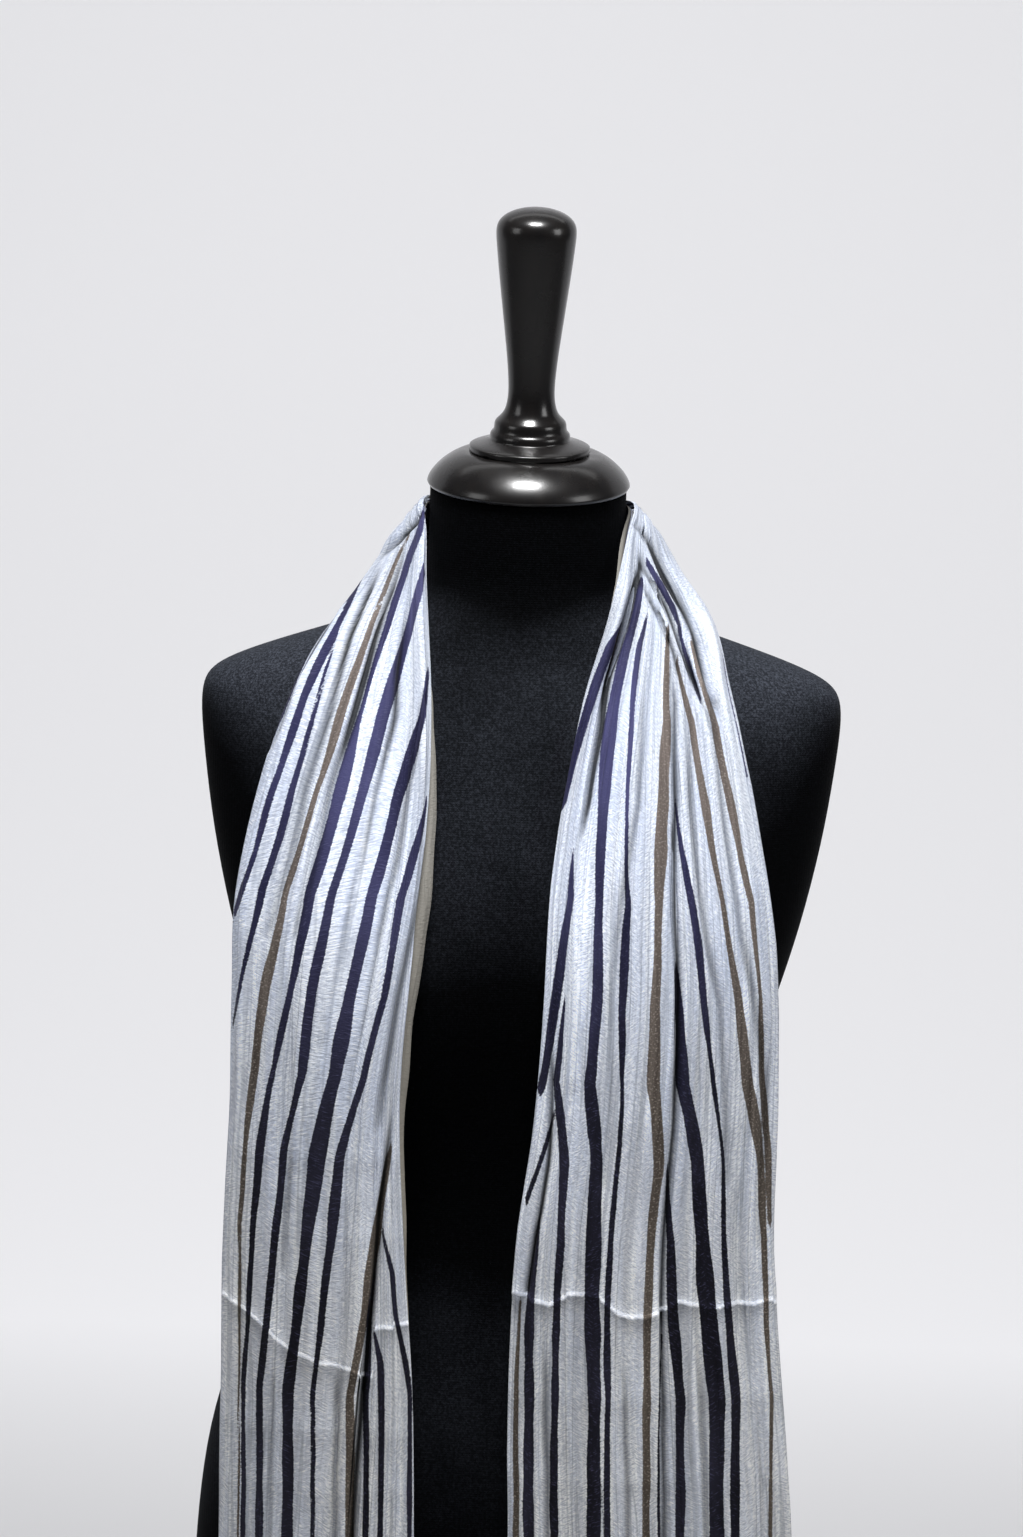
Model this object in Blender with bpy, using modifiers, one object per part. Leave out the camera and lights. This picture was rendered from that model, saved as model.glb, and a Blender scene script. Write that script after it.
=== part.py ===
"""Doubled chiffon stole hung round the neck of a limbless dress form on a counter stand.

The form faces -Y. The origin is on the counter, under the middle of the foot. "left" and
"right" are the sides seen from the front: left is -X and right is +X.
"""
import math
from collections import namedtuple

import bmesh
import bpy
from mathutils import Matrix, Vector

MM = 0.001

# Driving dimensions in metres.
GAP = 0.0003              # between neighbouring pieces
CLOTH_WALL = 0.0012       # chiffon wall
LAYER_PITCH = 0.0027      # from the middle of one cloth layer to the next
NECK_TOP_Y = -0.002       # centre of the plane that the cap sits on
NECK_TOP_Z = 0.968
NECK_LEAN = math.radians(9.5)    # forward lean of that plane, cap and finial
NECK_RADIUS = 0.0605
NECK_RINGS = 5
FOOT_RADIUS = 0.165
FOOT_HEIGHT = 0.026
FOOT_EDGE = 0.008
POST_RADIUS = 0.016

# Mesh steps.
TORSO_SIDES = 44
TURNED_STEPS = 32
FOOT_STEPS = 40
FALL_STEPS = 20           # along each fall
NECK_STEPS = 14           # along the stretch behind the neck
FOLD_STEPS = 2            # between one fold row and the next
UNDER_STEPS = 9           # across the under layer
SEAM_SHARE = 0.0155       # of a station, between a fall and the neck stretch

# Torso sections from the bottom up: height, half width, depth in front and behind, squareness
# of the superellipse, and how far the middle sits to the left.
Section = namedtuple("Section", "z half_width front back power sway")
TORSO = (
    Section(0.232, 0.1790, 0.1040, 0.112, 2.4, 0.003),
    Section(0.238, 0.1850, 0.1090, 0.118, 2.4, 0.003),
    Section(0.270, 0.1880, 0.1120, 0.121, 2.4, 0.003),
    Section(0.320, 0.1860, 0.1120, 0.122, 2.4, 0.003),
    Section(0.370, 0.1805, 0.1080, 0.119, 2.4, 0.003),
    Section(0.415, 0.1690, 0.1020, 0.110, 2.4, 0.002),
    Section(0.460, 0.1510, 0.0950, 0.098, 2.4, 0.001),
    Section(0.520, 0.1380, 0.0890, 0.086, 2.4, 0.000),
    Section(0.575, 0.1430, 0.0930, 0.087, 2.4, 0.000),
    Section(0.620, 0.1530, 0.0990, 0.091, 2.4, 0.000),
    Section(0.660, 0.1655, 0.1050, 0.097, 2.4, 0.000),
    Section(0.700, 0.1775, 0.1050, 0.101, 2.5, 0.000),
    Section(0.755, 0.1895, 0.0980, 0.102, 2.6, 0.000),
    Section(0.800, 0.1955, 0.0880, 0.096, 2.7, 0.000),
    Section(0.828, 0.1985, 0.0790, 0.088, 2.7, 0.000),
    Section(0.843, 0.1975, 0.0730, 0.083, 2.6, 0.000),
    Section(0.851, 0.1925, 0.0700, 0.079, 2.5, 0.000),
    Section(0.858, 0.1810, 0.0670, 0.075, 2.4, 0.000),
    Section(0.867, 0.1580, 0.0640, 0.071, 2.3, 0.000),
    Section(0.877, 0.1270, 0.0610, 0.067, 2.2, 0.000),
    Section(0.888, 0.0935, 0.0585, 0.063, 2.1, 0.000),
    Section(0.899, 0.0690, 0.0570, 0.060, 2.0, 0.000),
    Section(0.912, 0.0625, 0.0570, 0.059, 2.0, 0.000),
)
# The two soft mounds of the bust.
BUST_X = 0.085
BUST_Z = 0.655
BUST_REACH = 0.020
BUST_SPREAD_X = 0.046
BUST_SPREAD_Z = 0.070

# Turned profiles from the top down: radius and height in millimetres. The cap's and the
# finial's heights are above the plane that the cap sits on, and the post's above its top.
FINIAL_PROFILE = (
    (0.0, 171.5), (8.5, 170.9), (16.0, 168.7), (21.5, 165.2), (24.2, 161.0), (24.6, 156.5),
    (24.2, 151.0), (23.0, 139.5), (21.5, 127.0), (20.0, 115.0), (18.5, 103.0), (16.9, 90.5),
    (15.4, 78.0), (14.4, 66.0), (14.2, 58.5), (14.6, 53.5), (15.7, 48.0), (18.0, 44.2),
    (21.2, 41.6), (22.3, 39.6), (22.3, 35.4), (23.8, 34.2), (24.8, 32.8), (24.8, 29.6),
    (27.5, 28.4), (35.2, 26.6), (37.2, 25.4), (37.4, 22.3), (0.0, 22.3),
)
CAP_PROFILE = (
    (0.0, 22.0), (40.0, 22.0), (46.5, 19.6), (53.5, 15.2), (59.4, 9.4), (62.2, 4.8),
    (62.7, 2.6), (61.6, 0.6), (59.5, 0.0), (0.0, 0.0),
)
FLANGE_PROFILE = (
    (0.0, 0.0), (42.0, 0.0), (43.0, -1.0), (43.0, -5.0), (41.0, -7.5), (24.0, -10.0),
    (18.0, -14.0),
)

# Rails of the doubled cloth. Each row is a station: where the inner and the outer edge lie,
# which way the cloth faces there (bearing 0 is +Y, 90 is out to the side, 180 is -Y; rise is
# above the level), and how far it swells from the straight line between its edges. Station 0
# is the middle of the back, and SHOULDER the seam at the top of the shoulder.
SHOULDER = 2
Rail = namedtuple("Rail", "inner outer bearing rise swell")
RIGHT_RAILS = (
    Rail((0.0000, 0.0670, 0.9560), (0.0000, 0.0770, 0.8680), 0, 24, 0.003),
    Rail((0.0490, 0.0430, 0.9580), (0.0810, 0.0600, 0.8800), 42, 30, 0.000),
    Rail((0.0650, 0.0060, 0.9580), (0.1150, 0.0080, 0.8862), 90, 36, -0.001),
    Rail((0.0612, -0.0260, 0.9420), (0.1172, -0.0235, 0.8818), 125, 38, -0.001),
    Rail((0.0560, -0.0500, 0.9180), (0.1215, -0.0520, 0.8676), 150, 36, 0.001),
    Rail((0.0495, -0.0660, 0.8900), (0.1286, -0.0715, 0.8400), 165, 28, 0.004),
    Rail((0.0415, -0.0830, 0.8500), (0.1358, -0.0840, 0.8120), 173, 18, 0.008),
    Rail((0.0305, -0.1010, 0.8000), (0.1430, -0.0925, 0.7760), 177, 10, 0.013),
    Rail((0.0206, -0.1170, 0.7360), (0.1513, -0.0990, 0.7270), 180, 5, 0.018),
    Rail((0.0186, -0.1270, 0.6700), (0.1594, -0.1030, 0.6670), 180, 2, 0.019),
    Rail((0.0155, -0.1300, 0.6050), (0.1604, -0.1050, 0.6040), 180, 0, 0.018),
    Rail((0.0066, -0.1310, 0.5200), (0.1621, -0.1060, 0.5200), 180, 0, 0.016),
    Rail((0.0048, -0.1310, 0.4300), (0.1708, -0.1060, 0.4300), 180, 0, 0.014),
    Rail((0.0078, -0.1300, 0.3300), (0.1801, -0.1060, 0.3300), 180, 0, 0.012),
    Rail((0.0100, -0.1290, 0.2200), (0.1835, -0.1070, 0.2200), 180, 0, 0.010),
    Rail((0.0115, -0.1290, 0.1120), (0.1845, -0.1080, 0.1120), 180, 0, 0.009),
)
LEFT_RAILS = (
    Rail((0.0000, 0.0670, 0.9560), (0.0000, 0.0770, 0.8680), 0, 24, 0.003),
    Rail((-0.0490, 0.0430, 0.9570), (-0.0820, 0.0600, 0.8796), 42, 30, -0.001),
    Rail((-0.0656, 0.0060, 0.9550), (-0.1190, 0.0080, 0.8855), 90, 38, -0.003),
    Rail((-0.0625, -0.0260, 0.9380), (-0.1250, -0.0230, 0.8796), 125, 38, -0.003),
    Rail((-0.0600, -0.0500, 0.9120), (-0.1315, -0.0502, 0.8655), 150, 36, -0.001),
    Rail((-0.0573, -0.0660, 0.8840), (-0.1405, -0.0680, 0.8430), 165, 28, 0.003),
    Rail((-0.0545, -0.0830, 0.8460), (-0.1490, -0.0800, 0.8180), 173, 18, 0.008),
    Rail((-0.0512, -0.1010, 0.7960), (-0.1578, -0.0890, 0.7800), 177, 10, 0.013),
    Rail((-0.0504, -0.1180, 0.7340), (-0.1676, -0.0970, 0.7250), 180, 5, 0.016),
    Rail((-0.0565, -0.1290, 0.6700), (-0.1681, -0.1030, 0.6660), 180, 2, 0.016),
    Rail((-0.0612, -0.1320, 0.6050), (-0.1678, -0.1050, 0.6030), 180, 0, 0.015),
    Rail((-0.0575, -0.1330, 0.5200), (-0.1696, -0.1060, 0.5200), 180, 0, 0.013),
    Rail((-0.0515, -0.1330, 0.4300), (-0.1690, -0.1060, 0.4300), 180, 0, 0.012),
    Rail((-0.0494, -0.1320, 0.3300), (-0.1686, -0.1060, 0.3300), 180, 0, 0.011),
    Rail((-0.0475, -0.1310, 0.2000), (-0.1680, -0.1070, 0.2000), 180, 0, 0.010),
    Rail((-0.0470, -0.1300, 0.0860), (-0.1675, -0.1080, 0.0860), 180, 0, 0.009),
)
RAILS = {"left": LEFT_RAILS, "right": RIGHT_RAILS}

# Folds of the front layer, from the inner to the outer edge, given at eight stations: the
# back, the shoulder, just past it, the upper chest, the bust, the waist, the hip and the hem.
# "across" is the share of the way from the inner to the outer rail, "height" the millimetres
# in front of the rails, and "shift" the millimetres sideways. A pleat row is the edge of a
# knife pleat: its cloth runs on under itself for "tuck" millimetres.
FOLD_STATIONS = (0, 2, 4, 6, 8, 11, 13, 15)
NO_SHIFT = (0,) * len(FOLD_STATIONS)
Fold = namedtuple("Fold", "across height shift", defaults=(NO_SHIFT,))
Pleat = namedtuple("Pleat", "across height tuck faces")
RIGHT_FOLDS = (
    Fold((0.00, 0.00, 0.00, 0.00, 0.00, 0.00, 0.00, 0.00), (0, 0, 0, 1, 1, 1, 1, 1)),
    Fold((0.08, 0.10, 0.09, 0.06, 0.06, 0.07, 0.07, 0.08), (4, 5, 6, 6, 3, 2, 3, 4)),
    Fold((0.17, 0.20, 0.19, 0.13, 0.12, 0.14, 0.15, 0.17), (1, 0, 0, 0, 1, 1, 1, 1)),
    Fold((0.26, 0.26, 0.25, 0.24, 0.24, 0.26, 0.27, 0.28), (5, 5, 4, 4, 4, 3, 4, 5)),
    Pleat((0.40, 0.37, 0.37, 0.53, 0.57, 0.56, 0.56, 0.57), (6, 7, 8, 8, 8, 8, 8, 8),
          (6, 5, 6, 8, 12, 14, 14, 14), "out"),
    Fold((0.48, 0.45, 0.45, 0.61, 0.66, 0.66, 0.66, 0.66), (4, 5, 5, 5, 3, 2, 3, 3)),
    Fold((0.54, 0.52, 0.53, 0.67, 0.72, 0.73, 0.73, 0.73), (0, 0, 0, 1, 1, 1, 1, 1)),
    Fold((0.61, 0.60, 0.61, 0.74, 0.79, 0.80, 0.80, 0.79), (5, 5, 6, 5, 3, 3, 4, 4)),
    Fold((0.69, 0.68, 0.69, 0.81, 0.86, 0.87, 0.87, 0.86), (0, 0, 0, 0, 1, 1, 1, 1)),
    Fold((0.84, 0.83, 0.84, 0.91, 0.93, 0.93, 0.93, 0.93), (5, 5, 6, 5, 3, 2, 3, 3)),
)
LEFT_FOLDS = (
    Fold((0.00, 0.00, 0.00, 0.00, 0.00, 0.00, 0.00, 0.00), (0, 0, 0, 1, 1, 1, 1, 1)),
    Pleat((0.03, 0.02, 0.02, 0.02, 0.03, 0.13, 0.31, 0.42), (6, 6, 7, 8, 8, 8, 8, 8),
          (6, 6, 7, 8, 9, 14, 16, 18), "in"),
    Fold((0.13, 0.12, 0.13, 0.14, 0.14, 0.27, 0.46, 0.58), (6, 6, 7, 8, 8, 8, 8, 8)),
    Fold((0.24, 0.25, 0.26, 0.26, 0.26, 0.37, 0.54, 0.64), (2, 1, 3, 4, 5, 5, 5, 4)),
    Fold((0.34, 0.35, 0.37, 0.37, 0.38, 0.47, 0.61, 0.70), (5, 5, 5, 6, 6, 6, 6, 6)),
    Fold((0.46, 0.46, 0.47, 0.46, 0.48, 0.57, 0.69, 0.76), (0, 0, 0, 2, 4, 4, 3, 2)),
    Fold((0.58, 0.57, 0.58, 0.57, 0.60, 0.68, 0.77, 0.82), (5, 5, 5, 5, 5, 5, 5, 5)),
    Fold((0.70, 0.69, 0.70, 0.70, 0.74, 0.79, 0.85, 0.88), (0, 1, 1, 3, 3, 3, 2, 2)),
    Fold((0.85, 0.85, 0.86, 0.86, 0.88, 0.90, 0.93, 0.94), (5, 4, 5, 4, 3, 3, 3, 4)),
)
# The gathered stretch behind the neck has even rolls: share across and millimetres in front.
NECK_ROLLS = ((0.00, 0), (0.10, 5), (0.20, 0), (0.31, 6), (0.42, 1), (0.53, 5), (0.64, 0),
              (0.75, 6), (0.86, 1), (0.94, 4))
# The under layer turns back at the outer edge and lies behind the front one. Its own edge
# shows past the front one's on the left and stays short of it on the right.
UNDER_SHARES = (0.93, 0.78, 0.62, 0.46, 0.30, 0.14)
UNDER_EDGE = {"left": -0.025, "right": 0.015, "neck": 0.0}


def spline(keys, values, t):
    """Smooth curve through values given at rising keys, for numbers and for vectors."""
    last = len(keys) - 1
    i = 0
    while i < last - 1 and t > keys[i + 1]:
        i += 1
    before = max(i - 1, 0)
    after = min(i + 2, last)
    span = keys[i + 1] - keys[i]
    u = (t - keys[i]) / span
    slope_in = (values[i + 1] - values[before]) * (span / (keys[i + 1] - keys[before]))
    slope_out = (values[after] - values[i]) * (span / (keys[after] - keys[i]))
    return (values[i] * (2 * u ** 3 - 3 * u ** 2 + 1) + slope_in * (u ** 3 - 2 * u ** 2 + u)
            + values[i + 1] * (3 * u ** 2 - 2 * u ** 3) + slope_out * (u ** 3 - u ** 2))


def smooth(t):
    """Ease from 0 to 1."""
    t = min(max(t, 0.0), 1.0)
    return t * t * (3 - 2 * t)


def pleat_rows(pleat):
    """The rows round a knife pleat, from the inner side to the outer one.

    The shown layer ends at the edge, runs back under itself for the tuck, and then on under
    both. A pleat that faces "in" has its edge on the inner side and is the mirror image.
    """
    turn = LAYER_PITCH / MM / 2
    rows = []
    for shift, depth, tucked in (
            (-2.4, 0.0, 0), (-0.6, 0.25, 0), (0.0, 1.0, 0), (-0.6, 1.75, 0), (-2.4, 2.0, 0),
            (0.6, 2.25, 1), (0.0, 3.0, 1), (0.6, 3.75, 1), (-2.4, 4.0, 0)):
        shifts = tuple(turn * shift - tucked * tuck for tuck in pleat.tuck)
        heights = tuple(height - turn * depth for height in pleat.height)
        rows.append(Fold(pleat.across, heights, shifts))
    if pleat.faces == "in":
        rows = [row._replace(shift=tuple(-shift for shift in row.shift))
                for row in reversed(rows)]
    return rows


def front_rows(stretch, station, width):
    """Rows of the front layer at a station: millimetres from the inner rail and in front."""
    if stretch == "neck":
        return [Vector((across * width, height)) for across, height in NECK_ROLLS]
    rows = []
    for fold in RIGHT_FOLDS if stretch == "right" else LEFT_FOLDS:
        rows += pleat_rows(fold) if isinstance(fold, Pleat) else [fold]
    return [Vector((spline(FOLD_STATIONS, row.across, station) * width
                    + spline(FOLD_STATIONS, row.shift, station),
                    spline(FOLD_STATIONS, row.height, station))) for row in rows]


def cloth_at(stretch, station, width, q):
    """Place across and in front at q: 0 is the front edge, 1 the outer fold, 2 the back edge."""
    turn = LAYER_PITCH / MM / 2
    rows = front_rows(stretch, station, width)
    edge = len(rows) + 1
    rows += [Vector((width - 1.3 * turn, 0.0)), Vector((width, -turn)),
             Vector((width - 1.5 * turn, -2.3 * turn))]
    rows += [Vector((share * width, -2.7 * turn))
             for share in UNDER_SHARES + (UNDER_EDGE[stretch],)]
    keys = [0.0]
    for one, following in zip(rows, rows[1:]):
        keys.append(keys[-1] + (following - one).length)
    place = q * edge if q < 1 else edge + (q - 1) * (len(rows) - 1 - edge)
    i = min(int(place), len(rows) - 2)
    return spline(keys, rows, keys[i] + (place - i) * (keys[i + 1] - keys[i]))


def cloth_line(stretch, side, station, front_steps, under_steps):
    """Points across the middle of the doubled cloth of a stretch, at one station of a side."""
    other = RAILS["left" if side == "right" else "right"]
    rails = [rail._replace(bearing=-rail.bearing) for rail in (other[2], other[1])]
    rails += RAILS[side]
    keys = range(-2, len(rails) - 2)
    inner, outer = (spline(keys, [Vector(rail[i]) for rail in rails], station) for i in (0, 1))
    bearing, rise, swell = (spline(keys, [rail[i] for rail in rails], station) for i in (2, 3, 4))
    outward = 1.0 if side == "right" else -1.0
    facing = (Matrix.Rotation(-outward * math.radians(bearing), 3, "Z")
              @ Matrix.Rotation(math.radians(rise), 3, "X") @ Vector((0.0, 1.0, 0.0)))
    along_chord = (outer - inner).normalized()
    width = (outer - inner).length / MM
    points = []
    for step in range(front_steps + under_steps + 1):
        q = step / front_steps if step < front_steps else 1 + (step - front_steps) / under_steps
        across, height = cloth_at(stretch, station, width, q)
        share = across / width
        points.append(inner + along_chord * across * MM
                      + facing * (swell * 4 * share * (1 - share) + height * MM))
    return points


def material(name, colour, roughness, metallic=0.0, coat=0.0):
    """A plain Principled material."""
    made = bpy.data.materials.new(name)
    made.use_nodes = True
    shader = made.node_tree.nodes["Principled BSDF"]
    shader.inputs["Base Color"].default_value = (*colour, 1.0)
    shader.inputs["Roughness"].default_value = roughness
    shader.inputs["Metallic"].default_value = metallic
    shader.inputs["Coat Weight"].default_value = coat
    made.diffuse_color = (*colour, 1.0)
    return made


def add_object(name, bm, surface):
    """Turn a bmesh into a named object of the part's collection."""
    bmesh.ops.recalc_face_normals(bm, faces=bm.faces)
    mesh = bpy.data.meshes.new(name)
    bm.to_mesh(mesh)
    bm.free()
    mesh.shade_smooth()
    mesh.materials.append(surface)
    made = bpy.data.objects.new(name, mesh)
    parts.objects.link(made)
    return made


def torso_rings():
    """Rings of points from the underside to the top of the neck."""
    rings = []
    angles = [math.tau * i / TORSO_SIDES for i in range(TORSO_SIDES)]
    for section in TORSO:
        ring = []
        for angle in angles:
            c, s = math.cos(angle), math.sin(angle)
            x = section.half_width * math.copysign(abs(c) ** (2 / section.power), c)
            depth = section.back if s > 0 else section.front
            y = depth * math.copysign(abs(s) ** (2 / section.power), s)
            if s < 0:
                side = (abs(x) - BUST_X) / BUST_SPREAD_X
                up = (section.z - BUST_Z) / BUST_SPREAD_Z
                y -= BUST_REACH * math.exp(-side ** 2 - up ** 2) * abs(s) ** 0.5
            ring.append(Vector((x - section.sway, y, section.z)))
        rings.append(ring)
    base = TORSO[-1]
    for step in range(1, NECK_RINGS + 1):
        t = step / NECK_RINGS
        radius = base.half_width + (NECK_RADIUS - base.half_width) * smooth(t * 2)
        depth = base.front + (NECK_RADIUS - base.front) * t
        centre = Vector((0.0, NECK_TOP_Y * t, base.z + (NECK_TOP_Z - base.z) * t))
        lean = Matrix.Rotation(NECK_LEAN * t, 3, "X")
        rings.append([centre + lean @ Vector((radius * math.cos(a), depth * math.sin(a), 0.0))
                      for a in angles])
    return rings


def build_torso(surface):
    """The limbless torso with its neck, lofted through its sections and closed at both ends."""
    bm = bmesh.new()
    rings = [[bm.verts.new(point) for point in ring] for ring in torso_rings()]
    for lower, upper in zip(rings, rings[1:]):
        for i in range(TORSO_SIDES):
            j = (i + 1) % TORSO_SIDES
            bm.faces.new((lower[i], lower[j], upper[j], upper[i]))
    bm.faces.new(list(reversed(rings[0])))
    bm.faces.new(rings[-1])
    torso = add_object("form_torso", bm, surface)
    torso.data.set_sharp_from_angle(angle=math.radians(50))
    return torso


def build_turned(name, profile, steps, surface):
    """A turned piece: its profile, from the top down in millimetres, spun about Z."""
    bm = bmesh.new()
    verts = [bm.verts.new((radius * MM, 0.0, height * MM)) for radius, height in profile]
    for upper, lower in zip(verts, verts[1:]):
        bm.edges.new((upper, lower))
    mesh = bpy.data.meshes.new(name)
    bm.to_mesh(mesh)
    bm.free()
    mesh.materials.append(surface)
    made = bpy.data.objects.new(name, mesh)
    parts.objects.link(made)
    screw = made.modifiers.new("Turn", "SCREW")
    screw.axis = "Z"
    screw.steps = steps
    screw.render_steps = steps
    screw.use_merge_vertices = True
    screw.merge_threshold = 0.0001
    screw.use_smooth_shade = True
    return made


def build_head(surface):
    """Cap and finial, leaning forward with the top of the neck."""
    for name, profile in (("form_neck_cap", CAP_PROFILE), ("form_finial", FINIAL_PROFILE)):
        piece = build_turned(name, profile, TURNED_STEPS, surface)
        piece.rotation_euler = (NECK_LEAN, 0.0, 0.0)
        lift = Matrix.Rotation(NECK_LEAN, 3, "X") @ Vector((0.0, 0.0, GAP))
        piece.location = Vector((0.0, NECK_TOP_Y, NECK_TOP_Z)) + lift


def build_stand(surface):
    """The post with its flange under the torso, and the round foot."""
    post_top = TORSO[0].z - GAP
    post_length = post_top - FOOT_HEIGHT - GAP
    profile = FLANGE_PROFILE + ((POST_RADIUS / MM, -20.0), (POST_RADIUS / MM, -post_length / MM),
                                (0.0, -post_length / MM))
    post = build_turned("stand_post", profile, TURNED_STEPS, surface)
    post.location = (0.0, 0.0, post_top)
    flat = FOOT_RADIUS - FOOT_EDGE
    rim = [(flat + FOOT_EDGE * math.sin(a), FOOT_HEIGHT - FOOT_EDGE * (1 - math.cos(a)))
           for a in (math.pi / 2 * i / 4 for i in range(5))]
    outline = [(0.0, FOOT_HEIGHT)] + rim + [(FOOT_RADIUS, 0.002), (FOOT_RADIUS - 0.002, 0.0),
                                            (0.0, 0.0)]
    build_turned("stand_foot", [(radius / MM, height / MM) for radius, height in outline],
                 FOOT_STEPS, surface)


def build_cloth(stretch, stations, front_steps, surface):
    """One stretch of the stole: a sheet moved onto its lines, given its wall by Solidify."""
    across = front_steps + UNDER_STEPS
    lines = [cloth_line(stretch, side, station, front_steps, UNDER_STEPS)
             for side, station in stations]
    bm = bmesh.new()
    bmesh.ops.create_grid(bm, x_segments=across, y_segments=len(lines) - 1, size=1.0)
    for vert in bm.verts:
        column = round((vert.co.x + 1) / 2 * across)
        row = round((vert.co.y + 1) / 2 * (len(lines) - 1))
        vert.co = lines[row][column]
    sheet = add_object("stole_" + stretch, bm, surface)
    wall = sheet.modifiers.new("Wall", "SOLIDIFY")
    wall.thickness = CLOTH_WALL
    wall.offset = 0.0
    return sheet


def build_stole(surface):
    """The neck stretch from shoulder to shoulder, and the two falls."""
    for side, row_count in (("left", 18), ("right", 19)):
        first = SHOULDER + SEAM_SHARE
        last = len(RAILS[side]) - 1
        stations = [(side, first + (last - first) * (i / FALL_STEPS) ** 1.15)
                    for i in range(FALL_STEPS + 1)]
        build_cloth(side, stations, FOLD_STEPS * row_count, surface)
    turns = [SHOULDER * (2 * i / NECK_STEPS - 1) for i in range(NECK_STEPS + 1)]
    stations = [("left" if turn < 0 else "right", abs(turn)) for turn in turns]
    build_cloth("neck", stations, FOLD_STEPS * (len(NECK_ROLLS) + 1), surface)


for old in list(bpy.data.objects):
    bpy.data.objects.remove(old)
parts = bpy.data.collections.new("chiffon_stole_on_form")
bpy.context.scene.collection.children.link(parts)

chiffon = material("chiffon", (0.72, 0.76, 0.82), 0.75)
jersey = material("jersey", (0.012, 0.013, 0.016), 0.85)
black_wood = material("black_wood", (0.006, 0.006, 0.007), 0.18, coat=0.6)

build_torso(jersey)
build_head(black_wood)
build_stand(black_wood)
build_stole(chiffon)
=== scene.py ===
"""Crinkled striped chiffon stole, worn doubled round the neck of a limbless dress form."""
import math
from collections import namedtuple

import bmesh
import bpy
from mathutils import Matrix, Vector, noise


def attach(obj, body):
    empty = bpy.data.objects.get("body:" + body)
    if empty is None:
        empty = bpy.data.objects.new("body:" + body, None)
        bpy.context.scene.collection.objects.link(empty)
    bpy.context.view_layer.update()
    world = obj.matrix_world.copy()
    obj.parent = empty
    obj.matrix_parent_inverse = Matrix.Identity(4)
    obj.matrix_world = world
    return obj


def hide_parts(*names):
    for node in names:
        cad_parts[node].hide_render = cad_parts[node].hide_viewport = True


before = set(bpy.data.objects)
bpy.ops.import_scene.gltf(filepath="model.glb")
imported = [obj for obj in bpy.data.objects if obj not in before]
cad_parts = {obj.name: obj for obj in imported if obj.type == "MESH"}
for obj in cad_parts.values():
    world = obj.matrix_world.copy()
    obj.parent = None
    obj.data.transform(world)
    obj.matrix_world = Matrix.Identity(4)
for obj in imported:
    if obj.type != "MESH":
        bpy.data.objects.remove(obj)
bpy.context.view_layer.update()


# Torso
# A moulded shell with one tube of black cotton jersey pulled down over it, so it has no seam in
# front. Its solid is merged and smoothed here, and the underside keeps its edge.

def smoothed_copy(node, name, level, keep_edges_over):
    """A rounder copy of a solid, which takes the solid's place."""
    merge_within = 0.00002
    held_sharp = 0.75
    bm = bmesh.new()
    bm.from_mesh(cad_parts[node].data)
    bmesh.ops.remove_doubles(bm, verts=bm.verts, dist=merge_within)
    bmesh.ops.join_triangles(bm, faces=bm.faces, angle_face_threshold=math.radians(35),
                             angle_shape_threshold=math.radians(180))
    bmesh.ops.recalc_face_normals(bm, faces=bm.faces)
    crease = bm.edges.layers.float.new("crease_edge")
    for edge in bm.edges:
        if edge.is_manifold and edge.calc_face_angle() > math.radians(keep_edges_over):
            edge[crease] = held_sharp
    mesh = bpy.data.meshes.new(name)
    bm.to_mesh(mesh)
    bm.free()
    mesh.shade_smooth()
    made = bpy.data.objects.new(name, mesh)
    bpy.context.scene.collection.objects.link(made)
    rounding = made.modifiers.new("Rounding", "SUBSURF")
    rounding.levels = rounding.render_levels = level
    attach(made, "root")
    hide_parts(node)
    return made


def finish_named(name):
    """A new node material, its shader, a short way to add a wired node, and its links."""
    made = bpy.data.materials.new(name)
    made.use_nodes = True
    tree = made.node_tree

    def add(kind, sockets=None, **settings):
        part = tree.nodes.new("ShaderNode" + kind)
        for key, value in settings.items():
            setattr(part, key, value)
        for key, value in (sockets or {}).items():
            if isinstance(value, bpy.types.NodeSocket):
                tree.links.new(value, part.inputs[key])
            else:
                part.inputs[key].default_value = value
        return part

    return made, tree.nodes["Principled BSDF"], add, tree.links


jersey, skin, add, links = finish_named("black_jersey")
place = add("TexCoord").outputs["Object"]
wales = add("TexWave", {"Vector": place, "Scale": 190.0, "Distortion": 1.2, "Detail": 1.0,
                        "Detail Scale": 6.0}, bands_direction="X")
courses = add("TexWave", {"Vector": place, "Scale": 230.0, "Distortion": 1.0, "Detail": 1.0,
                          "Detail Scale": 6.0}, bands_direction="Z")
knit = add("Math", {0: wales.outputs["Fac"], 1: courses.outputs["Fac"]}, operation="MULTIPLY")
lint = add("TexNoise", {"Vector": place, "Scale": 650.0, "Detail": 2.0, "Roughness": 0.7})
top_light_patches = add("TexNoise", {"Vector": place, "Scale": 14.0, "Detail": 5.0})
speckle = add("MapRange", {"Value": lint.outputs["Fac"], "From Min": 0.42, "From Max": 0.72})
# Painted top light: a top-lit copy of the black, mixed in on faces that look up. The fine speckle is
# lint.
painted_top_light = add("Attribute", attribute_name="painted_top_light").outputs["Fac"]
patchy_top_light = add("Math", {0: painted_top_light, 1: top_light_patches.outputs["Fac"]}, operation="MULTIPLY")
top_light_share = add("MapRange", {"Value": patchy_top_light.outputs["Value"], "From Min": 0.02, "From Max": 0.22})
black = add("Mix", {"Factor": speckle.outputs["Result"], "A": (0.0008, 0.0009, 0.0011, 1),
                    "B": (0.0030, 0.0033, 0.0043, 1)}, data_type="RGBA")
top_lit_black = add("Mix", {"Factor": speckle.outputs["Result"], "A": (0.0140, 0.0158, 0.0200, 1),
                      "B": (0.050, 0.056, 0.071, 1)}, data_type="RGBA")
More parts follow.
